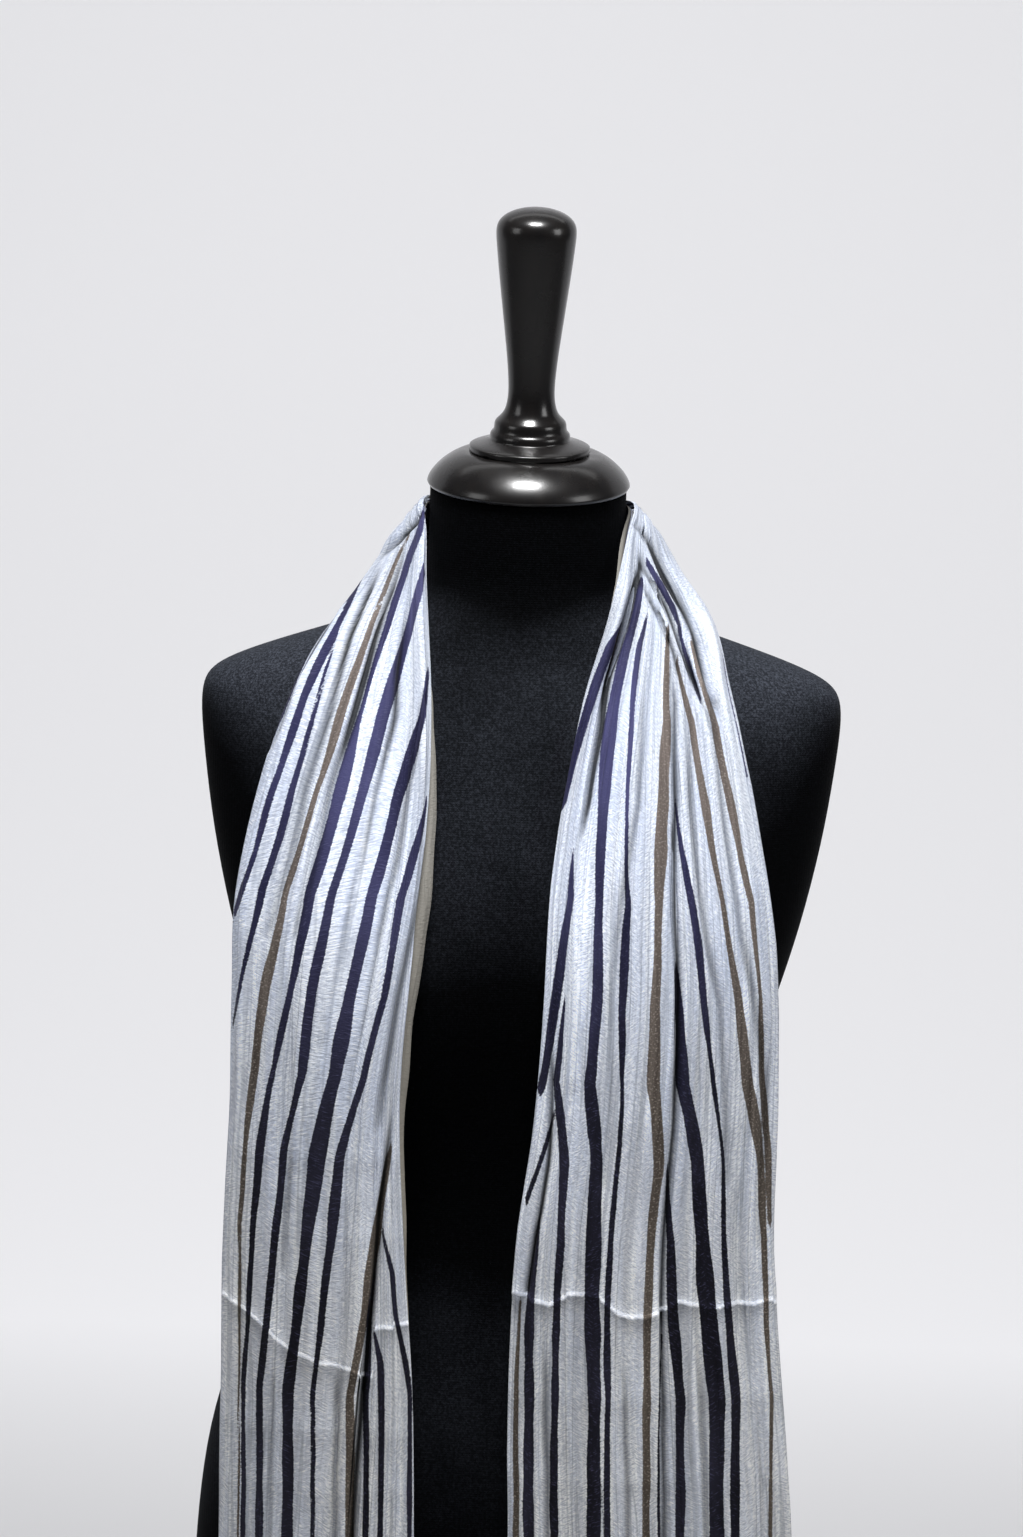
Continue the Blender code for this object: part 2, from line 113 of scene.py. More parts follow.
black_with_top_light = add("Mix", {"Factor": top_light_share.outputs["Result"], "A": black.outputs[2],
                    "B": top_lit_black.outputs[2]}, data_type="RGBA")
links.new(black_with_top_light.outputs[2], skin.inputs["Base Color"])
tooth = add("Math", {0: lint.outputs["Fac"], 1: knit.outputs["Value"]}, operation="ADD")
bump = add("Bump", {"Height": tooth.outputs["Value"], "Strength": 0.35, "Distance": 0.0004})
links.new(bump.outputs["Normal"], skin.inputs["Normal"])
skin.inputs["Roughness"].default_value = 0.82
skin.inputs["Specular IOR Level"].default_value = 0.025
skin.inputs["Sheen Weight"].default_value = 0.01
skin.inputs["Sheen Roughness"].default_value = 0.45
skin.inputs["Sheen Tint"].default_value = (0.75, 0.82, 1.0, 1)

torso = smoothed_copy("form_torso", "torso_jersey", 2, 50)
# Painted top light: the jersey is painted lighter where the form faces up, in uneven patches, and
# this painted light fades out towards the neck.
NECK_REACH = 0.10
NO_TOP_LIGHT_ABOVE = 0.93
TOP_LIGHT_FADES_OVER = 0.14
top_light_layer = torso.data.attributes.new("painted_top_light", "FLOAT", "POINT")
for vert in torso.data.vertices:
    faces_up = max(vert.normal.z, 0.0)
    if abs(vert.co.x) < NECK_REACH:
        faces_up *= min(max((NO_TOP_LIGHT_ABOVE - vert.co.z) / TOP_LIGHT_FADES_OVER, 0.0), 1.0)
    top_light_layer.data[vert.index].value = faces_up
torso.data.materials.append(jersey)


# Neck cap, finial, post and foot
# Turned beech under several coats of black gloss lacquer, rubbed flat between coats. The
# finial's spigot goes down through the cap, and the post carries the torso on its flange.

lacquer, skin, add, links = finish_named("black_gloss_lacquer")
place = add("TexCoord").outputs["Object"]
along = add("Mapping", {"Vector": place, "Scale": (60.0, 60.0, 7.0)})
grain = add("TexNoise", {"Vector": along.outputs["Vector"], "Scale": 3.0, "Detail": 6.0})
haze = add("TexNoise", {"Vector": place, "Scale": 38.0, "Detail": 5.0})
dust = add("TexNoise", {"Vector": place, "Scale": 900.0, "Detail": 2.0})
depth = add("Mix", {"Factor": grain.outputs["Fac"], "A": (0.0030, 0.0030, 0.0036, 1),
                    "B": (0.0085, 0.0070, 0.0062, 1)}, data_type="RGBA")
links.new(depth.outputs[2], skin.inputs["Base Color"])
rubbed = add("MapRange", {"Value": haze.outputs["Fac"], "From Min": 0.3, "From Max": 0.75,
                          "To Min": 0.22, "To Max": 0.34})
links.new(rubbed.outputs["Result"], skin.inputs["Roughness"])
ripple = add("Math", {0: grain.outputs["Fac"], 1: dust.outputs["Fac"]}, operation="ADD")
bump = add("Bump", {"Height": ripple.outputs["Value"], "Strength": 0.06, "Distance": 0.0003})
links.new(bump.outputs["Normal"], skin.inputs["Normal"])
skin.inputs["Specular IOR Level"].default_value = 0.40
skin.inputs["Coat Weight"].default_value = 0.25
skin.inputs["Coat Roughness"].default_value = 0.14

for node, name, keep_edges_over in (("form_neck_cap", "neck_cap", 40),
                                    ("form_finial", "finial", 55),
                                    ("stand_post", "post", 40), ("stand_foot", "foot", 60)):
    turned = smoothed_copy(node, name, 2, keep_edges_over)
    turned.data.materials.append(lacquer)


# The stole
# One panel of crinkled chiffon, striped along its length, folded in two along its length and hung
# round the neck. It lies in soft pleats, and each fold below is given one by one.

MM = 0.001
CHIFFON = 0.0004          # thickness
LAYER_PITCH = 0.0027      # from the middle of one cloth layer to the next

# Rails of the doubled cloth. Each row is a station: where the inner and the outer edge lie,
# which way the cloth faces there (bearing 0 is +Y, 90 is out to the side, 180 is -Y; rise is
# above the level), and how far it swells from the straight line between its edges. Station 0
# is the middle of the back, and SHOULDER the seam at the top of the shoulder.
SHOULDER = 2
Rail = namedtuple("Rail", "inner outer bearing rise swell")
RIGHT_RAILS = (
    Rail((0.0000, 0.0670, 0.9560), (0.0000, 0.0740, 0.8800), 0, 24, 0.003),
    Rail((0.0490, 0.0430, 0.9580), (0.0800, 0.0540, 0.8960), 42, 30, 0.003),
    Rail((0.0650, 0.0060, 0.9590), (0.0820, 0.0080, 0.9356), 90, 36, 0.002),
    Rail((0.0612, -0.0260, 0.9420), (0.0985, 0.0040, 0.9130), 125, 38, 0.003),
    Rail((0.0560, -0.0500, 0.9180), (0.1130, -0.0060, 0.8930), 150, 36, 0.005),
    Rail((0.0495, -0.0660, 0.8900), (0.1200, -0.0350, 0.8765), 165, 28, 0.007),
    Rail((0.0380, -0.0830, 0.8500), (0.1286, -0.0700, 0.8420), 173, 18, 0.008),
    Rail((0.0285, -0.1010, 0.8000), (0.1400, -0.0895, 0.7920), 177, 10, 0.013),
    Rail((0.0206, -0.1170, 0.7360), (0.1530, -0.0990, 0.7270), 180, 5, 0.018),
    Rail((0.0186, -0.1270, 0.6700), (0.1594, -0.1030, 0.6670), 180, 2, 0.019),
    Rail((0.0155, -0.1300, 0.6050), (0.1604, -0.1050, 0.6040), 180, 0, 0.018),
    Rail((0.0066, -0.1310, 0.5200), (0.1621, -0.1060, 0.5200), 180, 0, 0.016),
    Rail((0.0048, -0.1310, 0.4300), (0.1708, -0.1060, 0.4300), 180, 0, 0.014),
    Rail((0.0078, -0.1300, 0.3300), (0.1801, -0.1060, 0.3300), 180, 0, 0.012),
    Rail((0.0100, -0.1290, 0.2200), (0.1835, -0.1070, 0.2200), 180, 0, 0.010),
    Rail((0.0115, -0.1290, 0.1120), (0.1845, -0.1080, 0.1120), 180, 0, 0.009),
)
LEFT_RAILS = (
    Rail((0.0000, 0.0670, 0.9560), (0.0000, 0.0740, 0.8800), 0, 24, 0.003),
    Rail((-0.0490, 0.0430, 0.9570), (-0.0800, 0.0540, 0.8950), 42, 30, 0.003),
    Rail((-0.0638, 0.0060, 0.9590), (-0.0810, 0.0080, 0.9350), 90, 38, 0.001),
    Rail((-0.0616, -0.0260, 0.9400), (-0.0980, 0.0040, 0.9113), 125, 38, 0.002),
    Rail((-0.0600, -0.0500, 0.9120), (-0.1125, -0.0060, 0.8910), 150, 36, 0.004),
    Rail((-0.0573, -0.0660, 0.8840), (-0.1255, -0.0330, 0.8750), 165, 28, 0.006),
    Rail((-0.0545, -0.0830, 0.8460), (-0.1390, -0.0660, 0.8470), 173, 18, 0.008),
    Rail((-0.0537, -0.1010, 0.7960), (-0.1545, -0.0860, 0.7960), 177, 10, 0.013),
    Rail((-0.0569, -0.1180, 0.7340), (-0.1676, -0.0970, 0.7250), 180, 5, 0.016),
    Rail((-0.0621, -0.1290, 0.6700), (-0.1681, -0.1030, 0.6660), 180, 2, 0.016),
    Rail((-0.0650, -0.1320, 0.6050), (-0.1678, -0.1050, 0.6030), 180, 0, 0.015),
    Rail((-0.0600, -0.1330, 0.5200), (-0.1696, -0.1060, 0.5200), 180, 0, 0.013),
    Rail((-0.0525, -0.1330, 0.4300), (-0.1690, -0.1060, 0.4300), 180, 0, 0.012),
    Rail((-0.0490, -0.1320, 0.3300), (-0.1686, -0.1060, 0.3300), 180, 0, 0.011),
    Rail((-0.0475, -0.1310, 0.2000), (-0.1680, -0.1070, 0.2000), 180, 0, 0.010),
    Rail((-0.0470, -0.1300, 0.0860), (-0.1675, -0.1080, 0.0860), 180, 0, 0.009),
)
RAILS = {"left": LEFT_RAILS, "right": RIGHT_RAILS}

# Folds of the front layer, from the inner to the outer edge, given at ten stations: the back,
# the shoulder, three just past it, the upper chest, the bust, the waist, the hip and the hem.
# They start close together at the neck and fan out on the way down. "across" is the share of
# the way from the inner to the outer rail, "height" the millimetres in front of the rails, and
# "shift" the millimetres sideways. A pleat row is the edge of a knife pleat: its cloth runs on
# under itself for "tuck" millimetres.
FOLD_STATIONS = (0, 2, 3, 4, 5, 6, 8, 11, 13, 15)
NO_SHIFT = (0,) * len(FOLD_STATIONS)
Fold = namedtuple("Fold", "across height shift", defaults=(NO_SHIFT,))
Pleat = namedtuple("Pleat", "across height tuck faces")
RIGHT_FOLDS = (
    Fold((0.00, 0.00, 0.00, 0.00, 0.00, 0.00, 0.00, 0.00, 0.00, 0.00),
         (0, 0, 0, 0, 0, 0, 1, 1, 1, 1)),
    Fold((0.08, 0.05, 0.05, 0.07, 0.06, 0.05, 0.05, 0.07, 0.07, 0.08),
         (2.5, 1, 1, 2.5, 7, 6, 3, 2, 3, 4)),
    Fold((0.17, 0.10, 0.10, 0.14, 0.12, 0.12, 0.12, 0.14, 0.15, 0.17),
         (0.5, 0.5, 0, -0.5, -1, 0, 1, 1, 1, 1)),
    Fold((0.26, 0.16, 0.16, 0.25, 0.29, 0.30, 0.26, 0.26, 0.27, 0.28),
         (3, 1, 1, 1, 3, 4, 4, 3, 4, 5)),
    Pleat((0.40, 0.25, 0.26, 0.38, 0.49, 0.53, 0.565, 0.545, 0.54, 0.55),
          (3.5, 1, 1, 2.5, 7, 8, 8, 8, 8, 8), (6, 4, 4, 4, 7, 8, 12, 14, 14, 14), "out"),
    Fold((0.48, 0.32, 0.33, 0.45, 0.56, 0.63, 0.66, 0.66, 0.66, 0.66),
         (2.5, 1, 1, 2.5, 5, 5, 3, 2, 3, 3)),
    Fold((0.54, 0.38, 0.39, 0.52, 0.63, 0.70, 0.72, 0.73, 0.73, 0.73),
         (0, 0.5, 0.5, 0, 0, 1, 1, 1, 1, 1)),
    Fold((0.61, 0.45, 0.46, 0.60, 0.71, 0.77, 0.79, 0.80, 0.80, 0.79),
         (3, 1, 1, 2.5, 5, 5, 3, 3, 4, 4)),
    Fold((0.69, 0.53, 0.54, 0.69, 0.81, 0.86, 0.87, 0.87, 0.87, 0.86),
         (0, 0, 0, -0.5, -1, 0, 1, 1, 1, 1)),
    Fold((0.84, 0.76, 0.77, 0.84, 0.90, 0.92, 0.93, 0.93, 0.93, 0.93),
         (3, 1, 1, 2.5, 5, 4, 3, 2, 3, 3)),
)
LEFT_FOLDS = (
    Fold((0.00, 0.00, 0.00, 0.00, 0.00, 0.00, 0.00, 0.00, 0.00, 0.00),
         (0, 0, 0, 0, 0, 0, 1, 1, 1, 1)),
    Pleat((0.03, 0.02, 0.02, 0.02, 0.02, 0.02, 0.03, 0.18, 0.325, 0.42),
          (3.5, 1, 1, 3, 7, 8, 8, 8, 8, 8), (6, 6, 6, 7, 7, 8, 9, 14, 16, 18), "in"),
    Fold((0.13, 0.12, 0.12, 0.13, 0.14, 0.16, 0.18, 0.33, 0.475, 0.58),
         (3.5, 1, 1, 3, 7, 8, 8, 8, 8, 8)),
    Fold((0.24, 0.19, 0.18, 0.24, 0.35, 0.42, 0.57, 0.62, 0.68, 0.72),
         (1, 0.5, 0.5, 1, 3, 4, 6, 6, 6, 5)),
    Fold((0.34, 0.26, 0.26, 0.32, 0.43, 0.50, 0.65, 0.70, 0.75, 0.79),
         (3, 1, 1, 2.5, 6, 6, 7, 7, 7, 6)),
    Fold((0.46, 0.34, 0.34, 0.40, 0.50, 0.57, 0.73, 0.78, 0.81, 0.84),
         (0, 0, 0, 0.5, 2, 3, 5, 5, 4, 4)),
    Fold((0.58, 0.46, 0.47, 0.54, 0.63, 0.70, 0.80, 0.85, 0.87, 0.89),
         (3, 1, 1, 2.5, 6, 6, 6, 6, 5, 5)),
    Fold((0.70, 0.62, 0.66, 0.75, 0.80, 0.83, 0.87, 0.91, 0.92, 0.93),
         (0, 0, 0.5, 1, 2, 3, 4, 4, 3, 3)),
    Fold((0.85, 0.82, 0.84, 0.88, 0.91, 0.92, 0.94, 0.95, 0.95, 0.96),
         (3, 1, 1, 2.5, 4, 4, 4, 4, 3, 3)),
)
# The gathered stretch behind the neck has even rolls: share across and millimetres in front.
NECK_ROLLS = ((0.00, 0), (0.10, 6), (0.20, 0), (0.31, 7), (0.42, 0), (0.53, 6), (0.64, 0),
              (0.75, 7), (0.86, 0), (0.94, 5))
# The under layer turns back at the outer edge and lies behind the front one.
UNDER_SHARES = (0.93, 0.78, 0.62, 0.46, 0.30, 0.14)


def spline(keys, values, t):
    """Smooth curve through values given at rising keys, for numbers and for vectors."""
    last = len(keys) - 1
    i = 0
    while i < last - 1 and t > keys[i + 1]:
        i += 1
    before = max(i - 1, 0)
    after = min(i + 2, last)
    span = keys[i + 1] - keys[i]
    u = (t - keys[i]) / span
    slope_in = (values[i + 1] - values[before]) * (span / (keys[i + 1] - keys[before]))
    slope_out = (values[after] - values[i]) * (span / (keys[after] - keys[i]))
    return (values[i] * (2 * u ** 3 - 3 * u ** 2 + 1) + slope_in * (u ** 3 - 2 * u ** 2 + u)
            + values[i + 1] * (3 * u ** 2 - 2 * u ** 3) + slope_out * (u ** 3 - u ** 2))


def smooth(t):
    """Ease from 0 to 1."""
    t = min(max(t, 0.0), 1.0)
    return t * t * (3 - 2 * t)


def pleat_rows(pleat):
    """The rows round a knife pleat, from the inner side to the outer one.

    The shown layer ends at the edge, runs back under itself for the tuck, and then on under
    both. A pleat that faces "in" has its edge on the inner side and is the mirror image.
    """
    turn = LAYER_PITCH / MM / 2
    rows = []
    for shift, depth, tucked in (
            (-2.4, 0.0, 0), (-0.6, 0.25, 0), (0.0, 1.0, 0), (-0.6, 1.75, 0), (-2.4, 2.0, 0),
            (0.6, 2.25, 1), (0.0, 3.0, 1), (0.6, 3.75, 1), (-2.4, 4.0, 0)):
        shifts = tuple(turn * shift - tucked * tuck for tuck in pleat.tuck)
        heights = tuple(height - turn * depth for height in pleat.height)
        rows.append(Fold(pleat.across, heights, shifts))
    if pleat.faces == "in":
        rows = [row._replace(shift=tuple(-shift for shift in row.shift))
                for row in reversed(rows)]
    return rows


def front_rows(stretch, station, width):
    """Rows of the front layer at a station: millimetres from the inner rail and in front."""
    if stretch == "neck":
        return [Vector((across * width, height)) for across, height in NECK_ROLLS]
    rows = []
    for fold in RIGHT_FOLDS if stretch == "right" else LEFT_FOLDS:
        rows += pleat_rows(fold) if isinstance(fold, Pleat) else [fold]
    return [Vector((spline(FOLD_STATIONS, row.across, station) * width
                    + spline(FOLD_STATIONS, row.shift, station),
                    spline(FOLD_STATIONS, row.height, station))) for row in rows]


def rails_at(side, station):
    """Inner edge, outer edge, facing and swell of the doubled cloth at a station."""
    other = RAILS["left" if side == "right" else "right"]
    rails = [rail._replace(bearing=-rail.bearing) for rail in (other[2], other[1])]
    rails += RAILS[side]
    keys = range(-2, len(rails) - 2)
    inner, outer = (spline(keys, [Vector(rail[i]) for rail in rails], station) for i in (0, 1))
    bearing, rise, swell = (spline(keys, [rail[i] for rail in rails], station) for i in (2, 3, 4))
    outward = 1.0 if side == "right" else -1.0
    facing = (Matrix.Rotation(-outward * math.radians(bearing), 3, "Z")
              @ Matrix.Rotation(math.radians(rise), 3, "X") @ Vector((0.0, 1.0, 0.0)))
    return inner, outer, facing, swell


# The hidden layer's own edge, as a share of the width: below zero it shows past the front one.
HIDDEN_EDGE = {"left": (.05, .06, .06, .05, .04, .00, -.062, -.010, .03, .03),
               "right": (.015, -.02, -.03, .00, .015, .015, .015, .015, .015, .015),
               "neck": (.0,) * 10}


def section_rows(stretch, station, width):
    """All rows round a section, from the inner edge over the outer fold to the hidden edge."""
    turn = LAYER_PITCH / MM / 2
    rows = front_rows(stretch, station, width)
    edge = len(rows) + 1
    rows += [Vector((width - 1.3 * turn, 0.0)), Vector((width, -turn)),
             Vector((width - 1.5 * turn, -2.3 * turn))]
    hidden_edge = spline(FOLD_STATIONS, HIDDEN_EDGE[stretch], station)
    hidden_edge += 0.012 * noise.noise(Vector((station * 1.9, 6.0, 1.0)))
    rows += [Vector((share * width, -2.7 * turn)) for share in UNDER_SHARES + (hidden_edge,)]
    keys = [0.0]
    for one, following in zip(rows, rows[1:]):
        keys.append(keys[-1] + (following - one).length)
    return rows, keys, edge


def on_rails(side, station, places):
    """Puts places across and in front, in millimetres, on the rails of a side."""
    inner, outer, facing, swell = rails_at(side, station)
    chord = (outer - inner).normalized()
    width = (outer - inner).length / MM
    return [inner + chord * place.x * MM
            + facing * (swell * 4 * (place.x / width) * (1 - place.x / width) + place.y * MM)
            for place in places]


# A net is the cloth's grid of points: lines across it, one below the other, each with the same
# threads. Steps between threads are in millimetres, and between lines in metres.
FRONT_STEP = 1.35
UNDER_STEP = 3.4
LINE_STEP = 0.0050
FINE_LINE_STEP = 0.0016   # where the cloth was pressed across
PRESSED_BAND = (0.468, 0.500)
CLEAR_OF_NECK = 0.0155    # stations between the shoulder and a fall's first line
NECK_THREADS = (130, 40)  # in front and on the hidden layer
NECK_STEPS = (1.5, 4.5)
NECK_HALF_LINES = 28
NECK_LINE_STEP = 0.0068
Net = namedtuple("Net", "lines across along front")


def fall_net(side):
    """The net of one fall: its lines of points, and each thread's place on the flat cloth."""
    last = len(RAILS[side]) - 1
    inner, outer, _, _ = rails_at(side, last)
    rows, keys, edge = section_rows(side, last, (outer - inner).length / MM)
    plan = []
    for i in range(len(rows) - 1):
        span = keys[i + 1] - keys[i]
        count = max(2, round(span / (FRONT_STEP if i < edge else UNDER_STEP)))
        plan += [(i, step / count) for step in range(count)]
    plan.append((len(rows) - 2, 1.0))
    across = [keys[i] + t * (keys[i + 1] - keys[i]) for i, t in plan]
    front = sum(1 for i, _ in plan if i < edge)
    station = SHOULDER + CLEAR_OF_NECK
    stations, along = [station], [0.0]
    nudge = 0.01
    while station < last:
        inner, outer, _, _ = rails_at(side, station)
        here = (inner + outer) / 2
        ahead = (sum(rails_at(side, station + nudge)[:2], Vector()) / 2 - here).length / nudge
        pressed_here = PRESSED_BAND[0] < here.z < PRESSED_BAND[1]
        step = FINE_LINE_STEP if pressed_here else LINE_STEP
        station = min(station + step / max(ahead, nudge), last)
        stations.append(station)
        along.append(along[-1] + step)
    lines = []
    for station in stations:
        inner, outer, _, _ = rails_at(side, station)
        rows, keys, _ = section_rows(side, station, (outer - inner).length / MM)
        places = [spline(keys, rows, keys[i] + t * (keys[i + 1] - keys[i])) for i, t in plan]
        lines.append(on_rails(side, station, places))
    return Net(lines, across, along, front)


def neck_net():
    """The net of the stretch behind the neck, which takes each fall's folds at its ends."""
    front, under = NECK_THREADS
    lines, along = [], []
    for step in range(2 * NECK_HALF_LINES + 1):
        turn = SHOULDER * (step / NECK_HALF_LINES - 1)
        side = "left" if turn < 0 else "right"
        station = abs(turn)
        inner, outer, _, _ = rails_at(side, station)
        width = (outer - inner).length / MM
        gathered = smooth(station / SHOULDER * 1.5 - 0.3)
        ends, end_keys, end_edge = section_rows(side, station, width)
        rolls, roll_keys, roll_edge = section_rows("neck", station, width)
        places = []
        for i in range(front + under + 1):
            spots = []
            for rows, keys, edge in ((rolls, roll_keys, roll_edge), (ends, end_keys, end_edge)):
                if i <= front:
                    key = keys[edge] * i / front
                else:
                    key = keys[edge] + (keys[-1] - keys[edge]) * (i - front) / under
                spots.append(spline(keys, rows, key))
            places.append(spots[0].lerp(spots[1], gathered))
        lines.append(on_rails(side, station, places))
        along.append(NECK_LINE_STEP * step)
    front_step, under_step = NECK_STEPS
    across = [front_step * i if i <= front else front_step * front + under_step * (i - front)
              for i in range(front + under + 1)]
    return Net(lines, across, along, front)


# The stripes, placed after the photograph: the height on the fall in metres, how many
# millimetres out from the chart's line the middle of the stripe lies, and how wide it shows.
# Between these marks it runs evenly. One with its last mark at the chart's foot keeps on to the
# hem, and any other ends at its last mark.
RIGHT_STRIPES = (
    ("navy", (.897, 11, 1), (.879, 6, 5.5), (.834, 3, 4), (.785, 0, 4)),
    ("navy", (.927, 15, 2.5), (.914, 26, 4), (.901, 36.5, 4), (.887, 45.5, 2)),
    ("navy", (.886, 45, 1.5), (.871, 54.5, 2.5), (.856, 64, 2.5), (.845, 71, 1)),
    ("navy", (.757, 10, 1), (.730, 12, 4), (.672, 7, 5.5), (.618, 2, 5)),
    ("navy", (.674, 12, 1), (.624, 10.5, 4), (.576, 21.5, 5.5), (.527, 26, 4), (.430, 28, 4)),
    ("navy", (.542, 12, 1), (.527, 12, 2), (.478, 11, 5), (.430, 12.5, 5.5)),
    ("brown", (.490, 5, 1), (.430, 5, 3)),
    ("navy", (.606, 12, 1), (.585, 9, 2.5), (.553, 3, 2.5)),
    ("navy", (.916, 15, 2.5), (.900, 15.5, 4.5), (.879, 16, 6), (.834, 19, 8),
     (.788, 23.5, 5.5), (.730, 29, 5), (.672, 31, 5.5), (.624, 30.5, 6.5), (.576, 40, 7.5),
     (.527, 45.5, 9), (.430, 51.5, 8)),
    ("navy", (.895, 22.5, 1), (.879, 23, 3), (.834, 31, 3), (.788, 37.5, 1.5), (.730, 46, 3),
     (.695, 46, 5), (.672, 46, 4.5), (.624, 49.5, 2), (.527, 55.5, 3), (.430, 59.5, 3.5)),
    ("brown", (.889, 37, 2), (.834, 52, 4.5), (.788, 58.5, 6), (.765, 61, 7), (.730, 64.5, 4),
     (.672, 65.5, 4.5), (.624, 68, 7.5), (.576, 77, 5.5), (.527, 79.5, 4.5), (.430, 83, 4.5)),
    ("navy", (.472, 90.5, 1), (.430, 90.5, 1.2)),
    ("navy", (.695, 76.5, 1), (.672, 79.5, 4.5), (.624, 85.5, 8), (.576, 100.5, 7),
     (.527, 111, 10), (.430, 126, 9)),
    ("navy", (.791, 65, 1), (.730, 84.5, 4), (.705, 90, 5), (.672, 94.5, 4), (.624, 104, 2.5),
     (.576, 116, 1.5), (.527, 124, 3), (.430, 137, 5)),
    ("navy", (.573, 82.5, 1), (.527, 92, 4.5), (.478, 97, 6), (.430, 103.5, 5.5)),
    ("brown", (.870, 48, 1.5), (.834, 67.5, 3.5), (.788, 84, 4.5), (.730, 103, 2.5),
     (.672, 115.5, 4.5), (.624, 124.5, 7.5), (.576, 139, 4.5), (.527, 148.5, 3.5),
     (.430, 159, 2)),
    ("brown", (.882, 53.5, 2), (.834, 81, 4), (.788, 99.5, 4.5), (.730, 120, 3), (.672, 129, 2),
     (.624, 133.5, 3.5), (.576, 143.5, 3.5), (.535, 151, 2)),
)
LEFT_STRIPES = (
    ("navy", (.862, 77, 1), (.845, 84, 2), (.826, 92, 1.5)),
    ("navy", (.925, 30, 1.5), (.909, 41.5, 2.5), (.897, 48, 3), (.872, 62, 5), (.842, 76, 5),
     (.788, 96, 4), (.730, 112, 3.5), (.710, 116, 2)),
    ("navy", (.888, 53, 1), (.834, 70, 2.5), (.788, 84, 3.5), (.757, 92, 5), (.730, 100, 4),
     (.672, 106.5, 2), (.648, 108, 1)),
    ("brown", (.938, 10, 1), (.926, 16.5, 2.2), (.910, 23, 3), (.884, 35, 3.5), (.854, 46.5, 5),
     (.834, 54, 6), (.788, 69.5, 3), (.730, 85.5, 3.5), (.672, 91, 6), (.624, 91, 5.5),
     (.576, 96, 2.5), (.527, 101, 2.5), (.430, 106, 1)),
    ("navy", (.952, 1, 2), (.939, 4, 3.5), (.925, 10, 4), (.912, 14.5, 4), (.896, 21, 4),
     (.871, 30, 3), (.844, 39, 2), (.829, 44, 3), (.788, 55.5, 8), (.730, 71, 7), (.672, 75, 4),
     (.624, 80, 3.5), (.576, 87, 4.5), (.527, 92.5, 3.5), (.430, 103, 2.5)),
    ("navy", (.918, 1.5, 2.5), (.903, 5.5, 5.5), (.879, 13, 5.5), (.834, 29, 7.5),
     (.788, 42.5, 5.5), (.730, 58.5, 4.5), (.672, 62.5, 7), (.624, 62.5, 4.5), (.576, 72, 3.5),
     (.527, 78.5, 4), (.430, 93, 4)),
    ("navy", (.860, 1, 1.5), (.834, 5.5, 4.5), (.788, 21, 7), (.730, 34.5, 7), (.672, 39.5, 7.5),
     (.624, 43, 9), (.576, 52, 9), (.527, 59.5, 7.5), (.430, 75.5, 6.5)),
    ("navy", (.785, 4, 1), (.767, 8, 4), (.730, 17.5, 5.5), (.672, 19.5, 3.5), (.624, 26, 3.5),
     (.576, 38.5, 6), (.527, 45, 5.5), (.430, 60.5, 2.5)),
    ("brown", (.582, 8, 1), (.576, 10, 3.5), (.527, 19, 6), (.478, 28, 4), (.430, 38, 4.5)),
    ("navy", (.505, 20.5, 1), (.478, 25, 3), (.430, 28.5, 3.5)),
    ("navy", (.469, 22, 1), (.450, 19, 3.5), (.430, 19.5, 3.5)),
    ("navy", (.530, 14.5, 1), (.505, 10, 2.5), (.478, 9, 2.5), (.450, 4, 3), (.430, 2.5, 2.5)),
)
STRIPES = {"left": LEFT_STRIPES, "right": RIGHT_STRIPES}
CHART_FOOT = 0.430        # below this the stripes run straight down to the hem
STRIPE_END = 0.006        # past its end marks a stripe frays out within this height
FAR_OUTSIDE = -9.0        # given to cloth that no stripe of a shade comes near
# The repeat of the stripes where the chart doesn't reach: middle and width in millimetres.
REPEAT = 72
REPEATED = (("brown", 4, 5), ("navy", 13, 4), ("navy", 22, 5.5), ("navy", 37, 9),
            ("navy", 47, 3))


def inside_stripes(side, height, distance):
    """Millimetres inside the nearest navy and brown stripe, below zero outside them."""
    deepest = {"navy": FAR_OUTSIDE, "brown": FAR_OUTSIDE}
    for shade, *marks in STRIPES[side]:
        first, last = marks[0], marks[-1]
        runs_on = last[0] <= CHART_FOOT
        if height > first[0] + STRIPE_END or (height < last[0] - STRIPE_END and not runs_on):
            continue
        if height < last[0]:
            middle, width = last[1], last[2] if runs_on else 0.0
        elif height >= first[0]:
            middle, width = first[1], 0.0
        else:
            for upper, lower in zip(marks, marks[1:]):
                if height >= lower[0]:
                    break
            t = (upper[0] - height) / (upper[0] - lower[0])
            middle = upper[1] + (lower[1] - upper[1]) * t
            width = upper[2] + (lower[2] - upper[2]) * t
        middle += 0.5 * noise.noise(Vector((height * 38, first[1] * 3.7, 0.5)))
        width *= 1 + 0.30 * noise.noise(Vector((height * 40, first[1] * 5.1, 4.5)))
        deepest[shade] = max(deepest[shade], width / 2 - abs(distance - middle))
    return deepest


def inside_repeat(distance):
    """The same on cloth that follows the plain repeat."""
    deepest = {"navy": FAR_OUTSIDE, "brown": FAR_OUTSIDE}
    place = distance % REPEAT
    for shade, middle, width in REPEATED:
        gap = min(abs(place - middle), REPEAT - abs(place - middle))
        deepest[shade] = max(deepest[shade], width / 2 - gap)
    return deepest


